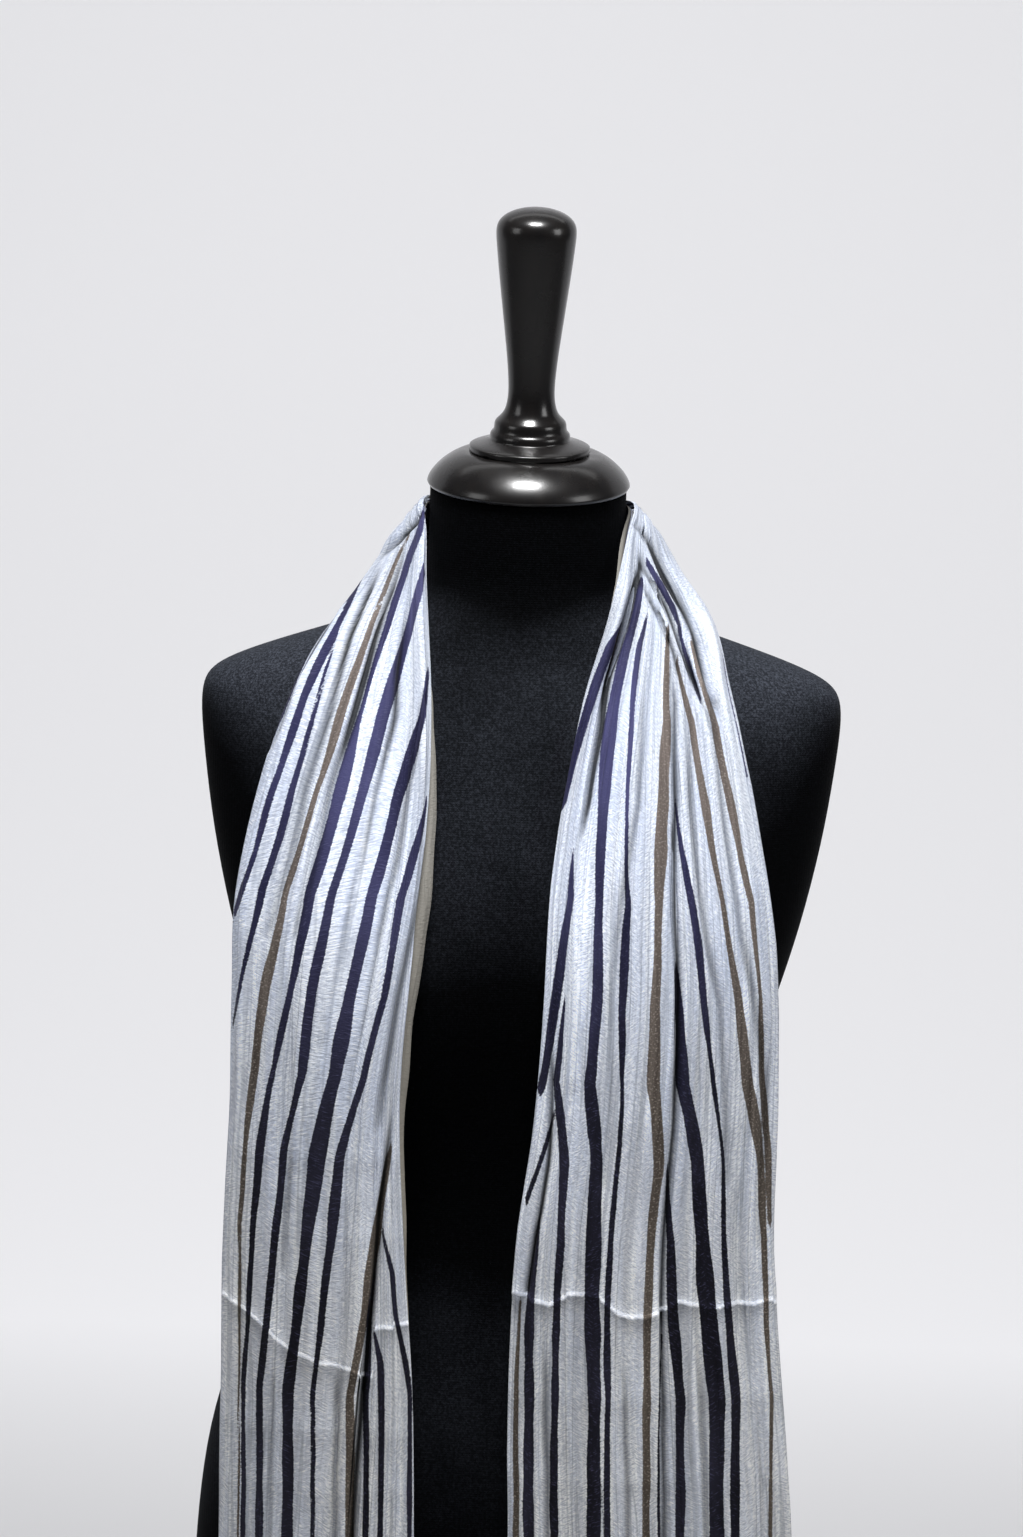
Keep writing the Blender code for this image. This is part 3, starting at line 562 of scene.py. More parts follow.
# The charts of stripes and creases start from a line near the inner edge of each fall: height
# in metres, and millimetres from the middle of the body.
CHART_LINES = {
    "left": ((.959, 63.8), (.940, 61.6), (.912, 60.0), (.884, 57.3), (.846, 54.5), (.796, 51.2),
             (.734, 50.4), (.670, 56.5), (.605, 61.2), (.520, 57.5), (.430, 51.5), (.330, 49.4),
             (.200, 47.5), (.086, 47.0)),
    "right": ((.959, 65.0), (.942, 61.2), (.918, 56.0), (.890, 49.5), (.850, 38.0), (.800, 28.5),
              (.736, 20.6), (.670, 18.6), (.605, 15.5), (.520, 6.6), (.430, 4.8), (.330, 7.8),
              (.220, 10.0), (.112, 11.5)),
}


def from_chart_line(side, point):
    """How far out from the chart's line a point lies, in millimetres."""
    heights, starts = zip(*CHART_LINES[side])
    depth = min(max(-point.z, -heights[0]), -heights[-1])
    return abs(point.x) / MM - spline([-height for height in heights], starts, depth)


def charted(side, point):
    """The stripes at a point of the front layer."""
    return inside_stripes(side, point.z, from_chart_line(side, point))


# Creases pressed across the falls where the stole lay folded: millimetres out from the chart's
# line, the height there in metres, and how many millimetres the cloth steps back below it.
PRESSED = {
    "left": ((0, .4735, 1.2), (22, .4740, 1.3), (24, .4450, 1.5), (60, .4530, 1.8),
             (80, .4620, 2.0), (92, .4720, 2.0), (112, .4830, 1.8)),
    "right": ((0, .4950, 1.6), (22, .4910, 1.8), (30, .4970, 1.5), (52, .4970, 1.6),
              (62, .4880, 1.4), (80, .4860, 1.8), (100, .4920, 1.7), (125, .4890, 1.6),
              (165, .4900, 1.5)),
}
# Fainter creases across the falls: height in metres and depth in millimetres.
FAINT = {"left": ((.574, .6), (.552, .5), (.527, .6), (.408, .7), (.371, .6), (.300, .8),
                  (.230, .6), (.170, .7)),
         "right": ((.600, .4), (.433, .7), (.381, .6), (.290, .8), (.215, .6), (.160, .6))}


def pressed_step(side, height, distance):
    """Millimetres forward that the pressed creases push the cloth, and millimetres above them."""
    marks = PRESSED[side]
    if distance <= marks[0][0]:
        level, drop = marks[0][1:]
    elif distance >= marks[-1][0]:
        level, drop = marks[-1][1:]
    else:
        for one, two in zip(marks, marks[1:]):
            if distance <= two[0]:
                break
        t = (distance - one[0]) / (two[0] - one[0])
        level, drop = (one[i] + (two[i] - one[i]) * t for i in (1, 2))
    level += 0.0016 * noise.noise(Vector((distance * 0.09, 3.1, 7.7)))
    level += 0.0018 * (noise.cell(Vector((distance / 10.5, 1.5, 0.5))) - 0.5)
    above = height - level
    if above >= 0:
        forward = drop * (0.45 * math.exp(-above / 0.014) + 0.55 * math.exp(-above / 0.0022))
    else:
        forward = drop * (1.15 * math.exp(above / 0.006) - 0.15 * math.exp(above / 0.020))
    for level, drop in FAINT[side]:
        away = height - level - 0.004 * noise.noise(Vector((distance * 0.03, level * 40, 2.0)))
        forward += drop * math.exp(-abs(away) / 0.0045)
    return forward, above / MM


# Grooves and ridges that run down the falls between the folds: height in metres, and, in
# millimetres, the place out from the chart's line, the depth (below zero for a ridge) and the
# half width.
CREASES = {
    "right": (
        ((.930, 12, 1, 2), (.910, 12, 5, 2.5), (.884, 10.5, 5.5, 2.5), (.859, 11, 4.5, 2.2),
         (.832, 13.5, 4, 2), (.788, 15, 3, 2), (.757, 13, 0, 2)),
        ((.949, 2, 1.5, 2), (.938, 14, 3, 3), (.917, 29, 4.5, 3), (.897, 46, 4, 3),
         (.880, 58, 3.5, 3), (.868, 65, 3, 2.5), (.852, 74, 1.5, 3), (.835, 84, 0, 3)),
        ((.940, 30, -1, 7), (.920, 44, -2, 8), (.900, 58, -2, 8), (.880, 72, -1.5, 8),
         (.855, 84, 0, 8)),
        ((.934, 6, 0, 3), (.924, 13, 2.6, 2.4), (.902, 32, 3.2, 2.4), (.880, 47, 3.3, 2.2),
         (.856, 64, 3, 2.4), (.840, 75, 1.5, 2.5), (.820, 86, 0, 3)),
        ((.926, 9, 0, 3), (.912, 17, 2.4, 2.4), (.890, 34, 3.0, 2.4), (.872, 47, 3.0, 2.2),
         (.858, 55, 1.5, 2.5), (.840, 62, 0, 3)),
        ((.900, 19, 0, 3), (.834, 26, -2, 4), (.730, 20, -1.5, 5), (.620, 20, -1, 5)),
        ((.895, 28, 0, 3), (.788, 44, 1.8, 3), (.672, 39, 1.5, 3), (.560, 47, 1, 4)),
        ((.870, 58, 0, 3), (.788, 76, 2, 3), (.672, 104, 1.8, 3), (.560, 119, 1.5, 4)),
        ((.850, 77, 1.2, 3), (.730, 112, 2, 3), (.620, 137, 1.8, 4), (.520, 146, 1, 4)),
        ((.872, 45, 0, 2), (.846, 54, 2.5, 2), (.788, 66.5, 3, 2.2), (.678, 79, 3, 2.2),
         (.612, 82, 3, 2.2), (.552, 86, 3, 2.2), (.497, 89, 3, 2.2), (.430, 93, 2.5, 2.2),
         (.12, 98, 2, 2.5)),
        ((.650, 5, 0, 2), (.624, 8, 2.5, 2), (.576, 12, 3, 2), (.545, 12, 3, 2), (.520, 10, 3, 2),
         (.497, 8, 3, 2), (.489, 7, 0, 2)),
        ((.620, 2, 0, 3), (.576, 5, -2, 3), (.510, 4, -3, 4), (.496, 3, -3, 4), (.490, 3, 0, 3)),
        ((.470, 20, 0, 2), (.440, 22, 1.8, 3), (.330, 24, 1.8, 3), (.12, 25, 1.5, 3)),
        ((.470, 66, 0, 2), (.430, 70, 1.6, 3), (.300, 73, 1.8, 3), (.12, 75, 1.5, 3)),
        ((.470, 112, 0, 2), (.430, 117, 1.8, 3), (.300, 121, 1.6, 3), (.12, 124, 1.5, 3)),
    ),
    "left": (
        ((.952, 2, 2, 2), (.943, 8, 4, 2.2), (.937, 14, 4, 2.5), (.927, 24, 2, 3), (.918, 33, 0, 3)),
        ((.916, 17, 0, 3), (.900, 23, 1.5, 3), (.884, 29, 2.5, 3.5), (.861, 37, 2.5, 3.5),
         (.835, 46, 1.5, 3.5), (.800, 58, 0, 4)),
        ((.932, 12, 0, 3), (.915, 19, 1.6, 3), (.879, 33, 2.8, 2.6), (.834, 46, 2.5, 3),
         (.788, 61, 2, 3), (.700, 79, 1, 4)),
        ((.920, 28, 0, 2), (.900, 38, 3.5, 2.5), (.879, 48, 3.5, 3), (.834, 61, 2.5, 3),
         (.788, 76, 2, 3), (.700, 95, 1, 4)),
        ((.910, 48, 0, 2), (.885, 62, 2.5, 2.5), (.850, 84, 2.5, 3), (.810, 98, 1, 3)),
        ((.915, 9, 0, 2.5), (.860, 20, 3, 2.5), (.834, 22, 3, 3), (.788, 34, 2, 3),
         (.730, 47, 1.5, 3), (.640, 52, 1, 4)),
        ((.850, 3, 1.5, 2), (.800, 12, 2, 2.5), (.730, 25, 2, 3), (.672, 29, 1.5, 3),
         (.600, 35, 1, 3)),
        ((.760, 3, 1.5, 2), (.700, 9, 2, 2.5), (.640, 12, 2, 2.5), (.590, 16, 1, 3)),
        ((.600, 66, 0, 3), (.560, 70, 1.5, 3), (.500, 76, 1.2, 3)),
        ((.620, 6, 0, 2), (.570, 11, 3, 2.3), (.543, 16, 3.5, 2.3), (.490, 22, 3.5, 2.3),
         (.430, 31, 3.5, 2.3), (.345, 37, 3, 2.3), (.12, 46, 2, 2.6)),
        ((.450, 44, 0, 2), (.430, 46, 1.8, 3), (.300, 48, 1.8, 3), (.10, 49, 1.5, 3)),
        ((.450, 84, 0, 2), (.430, 85, 1.6, 3), (.300, 88, 1.8, 3), (.10, 90, 1.5, 3)),
    ),
}


def crease_at(side, height, distance):
    """How far the creases push the cloth back at a place, in millimetres."""
    deepest = 6.0
    total = 0.0
    for marks in CREASES[side]:
        if not marks[-1][0] <= height <= marks[0][0]:
            continue
        for upper, lower in zip(marks, marks[1:]):
            if height >= lower[0]:
                break
        share = (upper[0] - height) / (upper[0] - lower[0])
        t = smooth(share)
        middle = upper[1] + (lower[1] - upper[1]) * share
        middle += 0.8 * noise.noise(Vector((height * 22, len(marks), 3.0)))
        depth = upper[2] + (lower[2] - upper[2]) * t
        half = upper[3] + (lower[3] - upper[3]) * t
        away = (distance - middle) / half
        if abs(away) < 3:
            total += depth * (math.exp(-away * away) - 0.25 * math.exp(-(abs(away) - 1.6) ** 2))
    return deepest * math.tanh(total / deepest)


# The crinkle that was set in the cloth when it was made: how wide in millimetres, how long in
# metres, and where in the noise the left fall and the other two sheets lie.
Crinkle = namedtuple("Crinkle", "wide long left others")
FINE = Crinkle(3.4, 0.045, 4.2, 9.1)
SOFT = Crinkle(8.0, 0.085, 1.7, 5.3)
BROAD = Crinkle(21.0, 0.15, 8.8, 2.9)
SEAM_EASE = 0.03          # the crinkle starts over this length from the shoulder seam
REPEAT_EASE = 0.035       # and the stripes pass over into their repeat over this one
FOLD_LINE = 3.0           # millimetres from the right outer fold to the navy line beside it
FOLD_LINE_FOOT = 0.80
FOLD_LINE_THINS = 0.87    # above this height it loses 90 mm of width to the metre
PRESSED_REACH = (0.1, 0.64)
FAR_FROM_PRESSED = 90.0   # given to cloth that is in no reach of a pressed crease


def crinkled(kind, side, u, v):
    """One kind of crinkle at a place on the flat cloth, from -1 to 1."""
    return noise.noise(Vector((u / kind.wide, v / kind.long,
                               kind.left if side == "left" else kind.others)))


def lay_cloth(name, net, side):
    """Moves a flat sheet onto its net, then crinkles it and marks its stripes."""
    across, along = len(net.across) - 1, len(net.along) - 1
    bm = bmesh.new()
    bmesh.ops.create_grid(bm, x_segments=across, y_segments=along, size=1.0)
    marks = {key: bm.verts.layers.float.new(key)
             for key in ("navy", "brown", "selvedge", "crest", "groove", "hidden", "pressed")}
    spots = {}
    for vert in bm.verts:
        column = round((vert.co.x + 1) / 2 * across)
        row = round((vert.co.y + 1) / 2 * along)
        spots[vert] = (column, row)
        vert.co = net.lines[row][column]
    flat = bm.loops.layers.uv.new("cloth")
    for face in bm.faces:
        for loop in face.loops:
            column, row = spots[loop.vert]
            loop[flat].uv = (net.across[column] * MM, net.along[row])
    bm.normal_update()
    # Spread cloth crinkles more than gathered cloth.
    widest = RAILS["right"][-1].outer[0] - RAILS["right"][-1].inner[0]
    spread = [min((line[net.front] - line[0]).length / widest, 1.0) ** 1.4 for line in net.lines]
    outward = 1.0 if sum(vert.normal.y for vert, spot in spots.items()
                         if spot[0] < net.front) < 0 or not side else -1.0
    for vert, (column, row) in spots.items():
        u, v = net.across[column], net.along[row]
        shown = column <= net.front
        fine, soft, broad = (crinkled(kind, side, u, v) for kind in (FINE, SOFT, BROAD))
        from_seam = v if side else min(v, net.along[-1] - v)
        lift = (0.55 * fine + 1.8 * (0.30 - abs(soft)) + 1.3 * broad) * spread[row]
        lift *= (1.0 if shown else 0.5) * smooth(from_seam / SEAM_EASE)
        if shown:
            # Behind the neck the creases of each fall run on a little way and fade.
            key = side or ("left" if row < along / 2 else "right")
            spot = vert.co if side else net.lines[0 if key == "left" else -1][column]
            groove = crease_at(key, spot.z, from_chart_line(key, spot))
            groove *= 1.0 if side else math.exp(-from_seam / SEAM_EASE)
            lift -= groove
            vert[marks["groove"]] = groove
        vert[marks["crest"]] = lift
        vert[marks["hidden"]] = max(column - net.front - 4, 0) / 8
        vert[marks["selvedge"]] = net.across[-1] - u
        vert.co += vert.normal * lift * outward * MM
        if side and shown:
            stripes = charted(side, vert.co)
            if side == "right" and vert.co.z > FOLD_LINE_FOOT:
                from_fold = abs(net.across[net.front] - u - FOLD_LINE)
                thinned = max(vert.co.z - FOLD_LINE_THINS, 0) * 90
                stripes["navy"] = max(stripes["navy"], 0.7 - from_fold - thinned)
        elif shown:
            # Behind the neck each fall's own stripes pass over into the repeat.
            turn = (row / along - 0.5) * 2
            join = {"left": net.lines[0][column], "right": net.lines[-1][column]}
            near = {key: charted(key, point) for key, point in join.items()}
            share = smooth(turn * 1.6 + 0.5)
            plain, repeated = smooth(from_seam / REPEAT_EASE), inside_repeat(u)
            stripes = {key: (near["left"][key] * (1 - share) + near["right"][key] * share)
                       * (1 - plain) + repeated[key] * plain for key in ("navy", "brown")}
        else:
            stripes = inside_repeat(u)
        vert[marks["navy"]] = stripes["navy"]
        vert[marks["brown"]] = stripes["brown"]
        vert[marks["pressed"]] = FAR_FROM_PRESSED
    if side:
        towards = Vector((0.0, -1.0, 0.0))
        for vert, (column, row) in spots.items():
            if PRESSED_REACH[0] < vert.co.z < PRESSED_REACH[1]:
                distance = from_chart_line(side, vert.co)
                forward, above = pressed_step(side, vert.co.z, distance)
                vert.co += towards * forward * MM * (1.0 if column <= net.front else 0.6)
                if column <= net.front:
                    vert[marks["pressed"]] = above
    mesh = bpy.data.meshes.new(name)
    bm.to_mesh(mesh)
    bm.free()
    mesh.shade_smooth()
    sheet = bpy.data.objects.new(name, mesh)
    bpy.context.scene.collection.objects.link(sheet)
    wall = sheet.modifiers.new("Chiffon", "SOLIDIFY")
    wall.thickness = CHIFFON
    wall.offset = 0.0
    return sheet


chiffon, skin, add, links = finish_named("crinkled_chiffon")
weave_map = add("UVMap", uv_map="cloth").outputs["UV"]
place = add("TexCoord").outputs["Object"]


def threads(scale, detail, rough, turn=0.0):
    """Noise drawn out along the cloth, with so many spots to the metre across and along."""
    turned = add("Mapping", {"Vector": weave_map, "Rotation": (0, 0, turn)})
    drawn = add("Mapping", {"Vector": turned.outputs["Vector"],
                            "Scale": (scale[0], scale[1], 1.0)})
    return add("TexNoise", {"Vector": drawn.outputs["Vector"], "Scale": 1.0, "Detail": detail,
                            "Roughness": rough}).outputs["Fac"]


streaks = threads((300, 9), 4.0, 0.6)
crepe_left = threads((280, 1350), 2.0, 0.55, math.radians(28))
crepe_right = threads((280, 1350), 2.0, 0.55, math.radians(-28))
grains = threads((700, 820), 2.0, 0.6, math.radians(12))
bias = threads((70, 14), 2.0, 0.5)
bands = threads((75, 2.2), 3.0, 0.55)
yarns = threads((900, 30), 2.0, 0.5)
pleats = threads((110, 3.0), 2.0, 0.5)
soft_fold_shade = threads((150, 2.6), 2.0, 0.5)
cloud = threads((22, 9), 3.0, 0.5)


def ramp(value, low, high, to_low=0.0, to_high=1.0):
    """A value's range from low to high, drawn out to another range and cut off at its ends."""
    return add("MapRange", {"Value": value, "From Min": low, "From Max": high,
                            "To Min": to_low, "To Max": to_high}).outputs["Result"]


def sums(one, times, two):
    """The first times the second, and the third added."""
    return add("Math", {0: one, 1: times, 2: two}, operation="MULTIPLY_ADD").outputs["Value"]


def mixed(factor, one, two):
    """Two colours, or the outputs of two other mixes, by a factor."""
    sides = {key: (*value, 1) if isinstance(value, tuple) else value
             for key, value in (("A", one), ("B", two))}
    return add("Mix", {"Factor": factor, **sides}, data_type="RGBA").outputs[2]


crepe = add("Mix", {"Factor": ramp(bias, 0.46, 0.54), "A": crepe_left, "B": crepe_right}
            ).outputs["Result"]


def stripe_mask(attribute):
    """1 inside the stripes of one shade, with an edge that wanders with the crinkles."""
    inside = add("Attribute", attribute_name=attribute).outputs["Fac"]
    wander = ramp(streaks, 0.25, 0.75, -0.25, 0.25)
    frayed = sums(ramp(grains, 0.25, 0.75, -1.0, 1.0), 0.35, wander)
    total = sums(inside, 1.0, frayed)
    return add("MapRange", {"Value": total, "From Min": -0.45, "From Max": 0.05},
               interpolation_type="SMOOTHSTEP").outputs["Result"]


contrast = ramp(streaks, 0.34, 0.66)
off_line = add("Math", {0: pleats, 1: 0.5}, operation="SUBTRACT").outputs["Value"]
off_line = add("Math", {0: off_line}, operation="ABSOLUTE").outputs["Value"]
line = ramp(off_line, 0.006, 0.026, 1.0, 0.0)
ice = mixed(ramp(bands, 0.46, 0.54), (0.90, 0.95, 1.00), (0.68, 0.75, 0.88))
ice = mixed(contrast, ice, mixed(ramp(cloud, 0.4, 0.6), (0.58, 0.65, 0.80), (0.68, 0.72, 0.80)))
ice = mixed(ramp(crepe, 0.50, 0.60, 0.0, 0.75), ice, (0.41, 0.45, 0.54))
ice = mixed(ramp(grains, 0.52, 0.64, 0.0, 0.55), ice, (0.42, 0.47, 0.58))
ice = mixed(ramp(yarns, 0.54, 0.64, 0.0, 0.45), ice, (0.44, 0.48, 0.57))
ice = mixed(ramp(crepe, 0.45, 0.36, 0.0, 0.75), ice, (0.96, 0.98, 1.00))
# Painted shade: thin darker lines along fine random pleats.
ice = mixed(add("Math", {0: line, 1: 0.45}, operation="MULTIPLY").outputs["Value"], ice,
            (0.36, 0.40, 0.47))
height = add("SeparateXYZ", {"Vector": place}).outputs["Z"]
# Painted shade: the stripes have a lit and a shaded colour, and turn darker lower down.
low = ramp(height, 0.84, 0.60)
blotch = ramp(cloud, 0.40, 0.60)
navy = mixed(blotch, (0.060, 0.060, 0.150), (0.020, 0.020, 0.062))
navy = mixed(low, navy, mixed(blotch, (0.018, 0.018, 0.034), (0.006, 0.006, 0.012)))
navy = mixed(ramp(crepe, 0.44, 0.34, 0.0, 0.5), navy, (0.085, 0.086, 0.170))
brown = mixed(contrast, (0.200, 0.165, 0.145), (0.120, 0.098, 0.085))
brown = mixed(low, brown, mixed(contrast, (0.120, 0.103, 0.088), (0.060, 0.050, 0.043)))
brown = mixed(ramp(grains, 0.54, 0.70), brown, (0.31, 0.27, 0.24))
cloth = mixed(stripe_mask("brown"), ice, brown)
cloth = mixed(stripe_mask("navy"), cloth, navy)
# The hidden layer's selvedge is a buff strip 7 mm wide, with no stripes.
edge = add("Attribute", attribute_name="selvedge").outputs["Fac"]
strip = ramp(edge, 6.5, 7.5, 1.0, 0.0)
cloth = mixed(strip, cloth, mixed(crepe, (0.64, 0.61, 0.54), (0.40, 0.38, 0.33)))
# Painted shade by height: the cloth is painted brightest at middle height and darker towards the top
# and the bottom.
height_shade = add("Math", {0: ramp(height, 0.40, 0.66, 1.05, 1.24),
                     1: ramp(height, 0.74, 0.90, 1.0, 0.60)},
            operation="MULTIPLY").outputs["Value"]
crest = add("Attribute", attribute_name="crest").outputs["Fac"]
groove = add("Attribute", attribute_name="groove").outputs["Fac"]
hidden = add("Attribute", attribute_name="hidden").outputs["Fac"]
# Painted shadow: the strip is darker where it goes in under the front layer.
tucked = sums(add("Math", {0: ramp(edge, 3.0, 7.0, 0.0, 0.58), 1: strip},
                  operation="MULTIPLY").outputs["Value"], -1.0, 1.0)
shade = height_shade
# Painted shade and light: darker along soft lengthwise folds, darker in troughs and lighter on
# ridges, darkest in grooves, and darker on the hidden layer.
for dimmed in (ramp(soft_fold_shade, 0.40, 0.60, 0.86, 1.06), ramp(crest, -1.6, 0.9, 0.74, 1.06),
               ramp(groove, 0.6, 2.8, 1.0, 0.20), ramp(groove, 1.9, 2.7, 1.0, 0.40),
               ramp(hidden, 0.0, 1.0, 1.0, 0.62), tucked):
    shade = add("Math", {0: shade, 1: dimmed}, operation="MULTIPLY").outputs["Value"]
# A pressed crease has a painted highlight along its line, and painted shade on the cloth below it.
pressed = add("Attribute", attribute_name="pressed").outputs["Fac"]
from_line = add("Math", {0: pressed}, operation="ABSOLUTE").outputs["Value"]
crease_highlight = ramp(from_line, 0.6, 1.9, 0.85, 0.0)
shade_below_crease = add("MapRange", {"Value": pressed, "From Min": -14.0, "From Max": -0.8, "To Min": 0.0,
                        "To Max": -0.16}).outputs["Result"]
below = add("Math", {0: pressed, 1: -0.8}, operation="LESS_THAN").outputs["Value"]
shade = sums(shade_below_crease, below, sums(crease_highlight, 1.0, shade))
# Painted light tint by height: warmer low down and bluer high up.
height_light_tint = mixed(ramp(height, 0.45, 0.75), (1.03, 0.99, 0.93), (0.985, 0.99, 1.02))
tint = add("VectorMath", {0: height_light_tint, "Scale": shade}, operation="SCALE").outputs["Vector"]
cloth = add("Mix", {"Factor": 1.0, "A": cloth, "B": tint}, data_type="RGBA",
            blend_type="MULTIPLY").outputs[2]
links.new(cloth, skin.inputs["Base Color"])
relief = sums(streaks, 0.9, sums(crepe, -0.22, sums(grains, -0.4, sums(line, -0.4, bands))))
bump = add("Bump", {"Height": relief, "Strength": 0.6, "Distance": 0.0013})
links.new(bump.outputs["Normal"], skin.inputs["Normal"])
skin.inputs["Roughness"].default_value = 0.60
skin.inputs["Specular IOR Level"].default_value = 0.12
skin.inputs["Sheen Weight"].default_value = 0.03
skin.inputs["Sheen Roughness"].default_value = 0.40

falls = {}
for side in ("left", "right"):
    falls[side] = lay_cloth("stole_" + side + "_fall", fall_net(side), side)


# The two hems
# Each end of the panel is rolled to a thin cord of chiffon and whipped over with white thread,
# a stitch every 5 mm. The roll follows the cloth's edge through all its folds.

ROLL = 0.0011             # radius of the rolled edge
STITCH_PITCH = 0.005
STITCH = 0.00022          # radius of the thread
STITCH_SIDES = 8
STITCH_LEAN = 0.0009
END_DEPTH = 0.004         # the cut end lies within this height of the lowest point


def tube(name, path, radius, sides, closed, surface):
    """A round length of cloth or thread swept along a path, as a mesh."""
    line = bpy.data.curves.new(name, "CURVE")
    line.dimensions = "3D"
    line.bevel_depth = radius
    line.bevel_resolution = sides
    line.use_fill_caps = not closed
    for points in path:
        spline_made = line.splines.new("POLY")
        spline_made.points.add(len(points) - 1)
        for point, spot in zip(spline_made.points, points):
            point.co = (*spot, 1.0)
        spline_made.use_cyclic_u = closed
    drawn = bpy.data.objects.new(name, line)
    bpy.context.scene.collection.objects.link(drawn)
    bpy.context.view_layer.update()
    mesh = bpy.data.meshes.new_from_object(drawn.evaluated_get(
        bpy.context.evaluated_depsgraph_get()))
    bpy.data.objects.remove(drawn)
    mesh.name = name
    mesh.materials.clear()
    mesh.materials.append(surface)
    mesh.shade_smooth()
    made = bpy.data.objects.new(name, mesh)
    bpy.context.scene.collection.objects.link(made)
    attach(made, "root")
    return made


rolled, skin, add, links = finish_named("rolled_chiffon_hem")
place = add("TexCoord").outputs["Object"]
twist = add("TexWave", {"Vector": place, "Scale": 160.0, "Distortion": 5.0, "Detail": 2.0,
                        "Detail Scale": 2.0}, bands_direction="DIAGONAL")
dyed = add("TexNoise", {"Vector": place, "Scale": 70.0, "Detail": 2.0})
striped = add("MapRange", {"Value": dyed.outputs["Fac"], "From Min": 0.56, "From Max": 0.60})
pale = add("Mix", {"Factor": twist.outputs["Fac"], "A": (0.36, 0.39, 0.43, 1),
                   "B": (0.56, 0.60, 0.65, 1)}, data_type="RGBA")
hem_colour = add("Mix", {"Factor": striped.outputs["Result"], "A": pale.outputs[2],
                         "B": (0.030, 0.026, 0.065, 1)}, data_type="RGBA")
links.new(hem_colour.outputs[2], skin.inputs["Base Color"])
bump = add("Bump", {"Height": twist.outputs["Fac"], "Strength": 0.5, "Distance": 0.0005})
links.new(bump.outputs["Normal"], skin.inputs["Normal"])
skin.inputs["Roughness"].default_value = 0.65
skin.inputs["Sheen Weight"].default_value = 0.08

thread, skin, add, links = finish_named("whipping_thread")
place = add("TexCoord").outputs["Object"]
ply = add("TexWave", {"Vector": place, "Scale": 900.0, "Distortion": 2.0},
          bands_direction="DIAGONAL")
lustre = add("Mix", {"Factor": ply.outputs["Fac"], "A": (0.62, 0.64, 0.68, 1),
                     "B": (0.86, 0.87, 0.88, 1)}, data_type="RGBA")
links.new(lustre.outputs[2], skin.inputs["Base Color"])
skin.inputs["Roughness"].default_value = 0.45

for side in ("left", "right"):
    bm = bmesh.new()
    bm.from_mesh(falls[side].data)
    bm.edges.ensure_lookup_table()
    lowest = min(vert.co.z for vert in bm.verts)
    ends = [edge for edge in bm.edges if edge.is_boundary
            and all(vert.co.z < lowest + END_DEPTH for vert in edge.verts)]
    touching = {}
    for edge in ends:
        for vert in edge.verts:
            touching.setdefault(vert, []).append(edge)
    at = min((vert for vert, near in touching.items() if len(near) == 1),
             key=lambda vert: abs(vert.co.x))
    points, used = [at.co.copy()], set()
    while True:
        ahead = [one for one in touching[at] if one not in used]
        if not ahead:
            break
        edge = ahead[0]
        used.add(edge)
        at = edge.other_vert(at)
        points.append(at.co.copy())
    bm.free()
    stitches, walked = [], 0.0
    for one, two in zip(points, points[1:]):
        walked += (two - one).length
        if walked > STITCH_PITCH:
            walked = 0.0
            forward = (two - one).normalized()
            up = Vector((0, 0, 1))
            aside = forward.cross(up).normalized()
            lean = forward * STITCH_LEAN
            reach = ROLL + STITCH
            turns = [math.tau * i / STITCH_SIDES for i in range(STITCH_SIDES)]
            stitches.append([one + aside * reach * math.cos(turn) + up * reach * math.sin(turn)
                             + lean * math.sin(turn) for turn in turns])
    roll = tube("hem_roll_" + side, [points], ROLL, 2, False, rolled)
    sewn = tube("hem_stitches_" + side, stitches, STITCH, 0, True, thread)


# The stretch behind the neck
# The same panel between the two falls, gathered in soft rolls. It meets them at the shoulders,
# where the real panel has no seam, and with it the three sheets stand in for their solids.

neck = lay_cloth("stole_neck_stretch", neck_net(), None)
for piece, node in ((falls["left"], "stole_left"), (falls["right"], "stole_right"),
                    (neck, "stole_neck")):
    piece.data.materials.append(chiffon)
    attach(piece, "root")
    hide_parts(node)


# Floor, lights and camera
# A pale floor that sweeps up behind, soft light from above the front, and the camera at the
# photograph's height, 7 degrees down.

PAPER_HALF = 6.0
FLOOR_FROM, FLOOR_TO = -6.0, 1.5
BEND = 1.0                # radius of the sweep
WALL_RISE = 3.0
FLOOR_ROWS, BEND_ROWS, WALL_ROWS = 10, 20, 10
rows = FLOOR_ROWS + BEND_ROWS + WALL_ROWS
bm = bmesh.new()
bmesh.ops.create_grid(bm, x_segments=1, y_segments=rows, size=1.0)
for vert in bm.verts:
    row = (vert.co.y + 1) / 2 * rows
    if row <= FLOOR_ROWS:
        y, z = FLOOR_FROM + (FLOOR_TO - FLOOR_FROM) / FLOOR_ROWS * row, 0.0
    elif row <= FLOOR_ROWS + BEND_ROWS:
        turn = math.radians(90 * (row - FLOOR_ROWS) / BEND_ROWS)
        y, z = FLOOR_TO + BEND * math.sin(turn), BEND - BEND * math.cos(turn)
    else:
        y, z = FLOOR_TO + BEND, BEND + WALL_RISE / WALL_ROWS * (row - FLOOR_ROWS - BEND_ROWS)
    vert.co = Vector((vert.co.x * PAPER_HALF, y, z))
mesh = bpy.data.meshes.new("studio_sweep")
bm.to_mesh(mesh)
bm.free()
mesh.shade_smooth()
sweep = bpy.data.objects.new("studio_sweep", mesh)
bpy.context.scene.collection.objects.link(sweep)
paper, skin, add, links = finish_named("pale_paper")
skin.inputs["Base Color"].default_value = (0.50, 0.50, 0.51, 1)
skin.inputs["Roughness"].default_value = 0.9
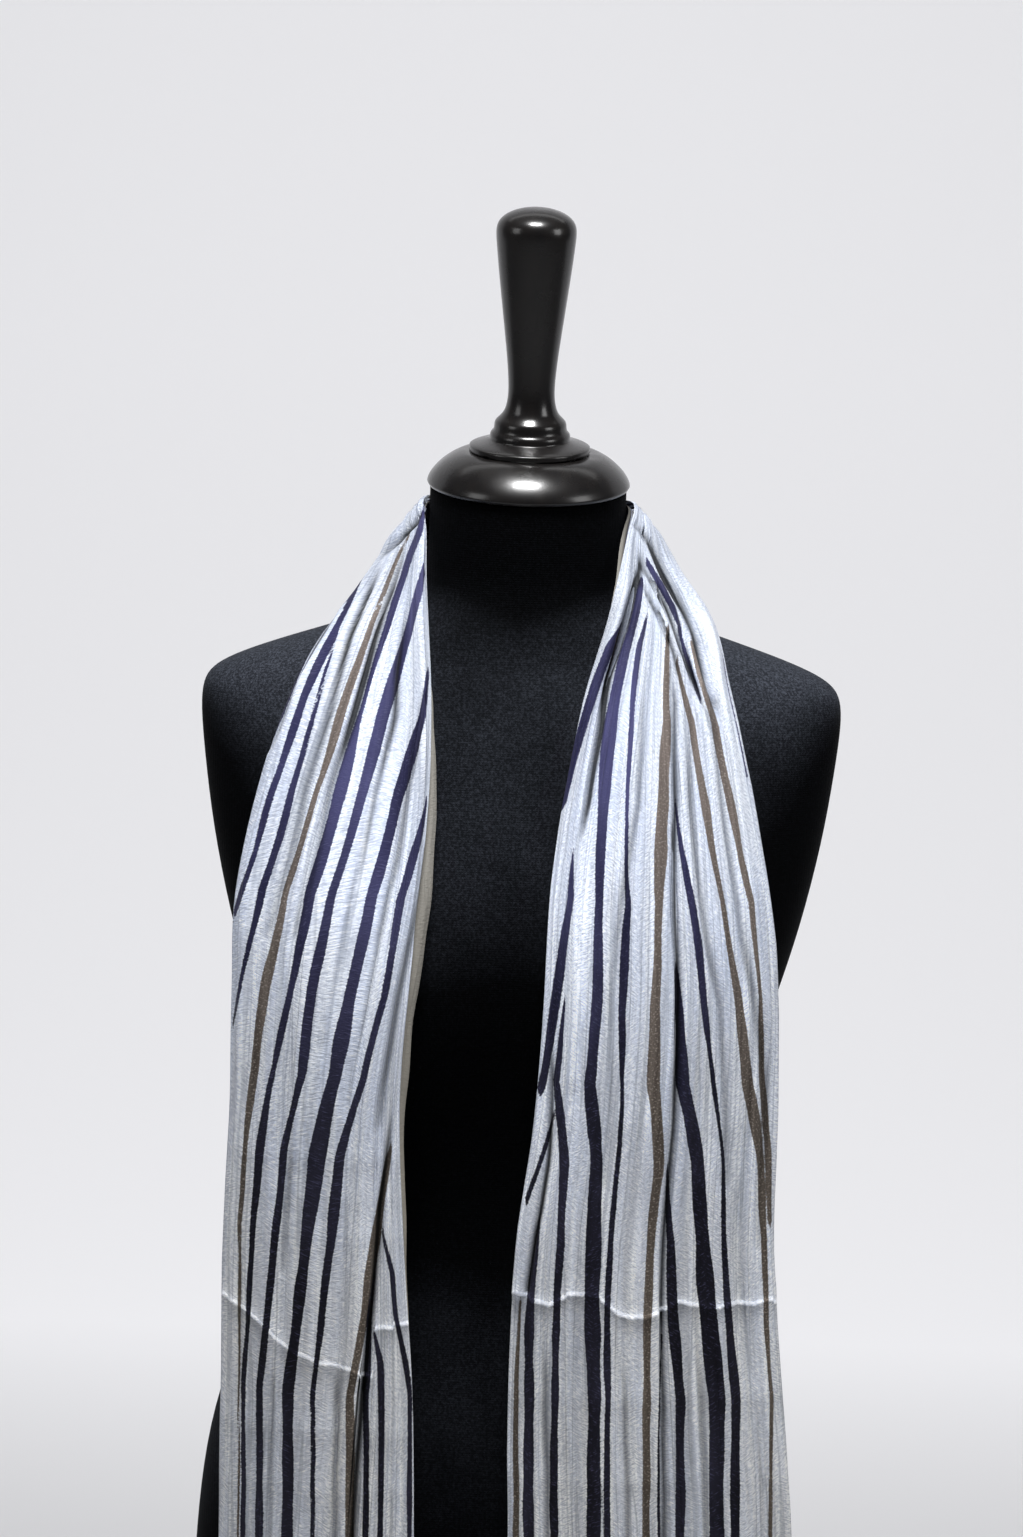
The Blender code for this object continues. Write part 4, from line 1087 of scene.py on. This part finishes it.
skin.inputs["Emission Color"].default_value = (0.93, 0.93, 0.96, 1)
place = add("TexCoord").outputs["Object"]
behind = add("SeparateXYZ", {"Vector": place}).outputs["Y"]
glow = add("MapRange", {"Value": behind, "From Min": 0.5, "From Max": 1.6, "To Min": 0.0,
                        "To Max": 0.49})
links.new(glow.outputs["Result"], skin.inputs["Emission Strength"])
# From behind, the view goes through the paper.
clear = add("BsdfTransparent").outputs["BSDF"]
facing_away = add("NewGeometry").outputs["Backfacing"]
seen = add("MixShader", {"Fac": facing_away, 1: skin.outputs["BSDF"], 2: clear})
result = next(node for node in paper.node_tree.nodes if node.type == "OUTPUT_MATERIAL")
links.new(seen.outputs["Shader"], result.inputs["Surface"])
sweep.data.materials.append(paper)

world = bpy.data.worlds.new("studio_air")
world.use_nodes = True
air = world.node_tree.nodes["Background"]
air.inputs["Color"].default_value = (0.92, 0.94, 1.0, 1)
air.inputs["Strength"].default_value = 0.05
bpy.context.scene.world = world
bpy.context.scene.view_settings.view_transform = "Standard"

for name, spot, aim, width, height, watts in (
        ("key_softbox", (-0.04, -0.52, 2.28), (0.0, -0.08, 0.80), 0.42, 0.28, 45),
        ("fill_left", (-1.5, -0.9, 1.5), (0.0, 0.0, 0.7), 0.6, 0.9, 4.5),
        ("fill_right", (1.5, -0.8, 1.5), (0.0, 0.0, 0.6), 0.6, 0.9, 8),
        ("back_wall", (0.0, 0.9, 2.6), (0.0, 2.5, 0.6), 2.5, 0.8, 9)):
    lamp = bpy.data.lights.new(name, "AREA")
    lamp.shape = "RECTANGLE"
    lamp.size, lamp.size_y, lamp.energy = width, height, watts
    holder = bpy.data.objects.new(name, lamp)
    holder.location = spot
    holder.rotation_euler = (Vector(aim) - Vector(spot)).to_track_quat("-Z", "Y").to_euler()
    bpy.context.scene.collection.objects.link(holder)

# The form leans a little in the photograph, and the camera takes that lean.
AIM = Vector((-0.00496, 0.0, 0.793))      # the middle of the picture, on the form
CAMERA_DISTANCE = 2.5
LOOKS_DOWN = math.radians(7.0)
LEAN = math.radians(1.8)
back = Vector((0.0, -math.cos(LOOKS_DOWN), math.sin(LOOKS_DOWN))) * CAMERA_DISTANCE
lens = bpy.data.cameras.new("camera")
lens.lens = 94.44
lens.sensor_width = 36.0
camera = bpy.data.objects.new("camera", lens)
bpy.context.scene.collection.objects.link(camera)
camera.matrix_world = (Matrix.Translation(AIM + back)
                       @ Matrix.Rotation(math.radians(90.0) - LOOKS_DOWN, 4, "X")
                       @ Matrix.Rotation(LEAN, 4, "Z"))
bpy.context.scene.camera = camera
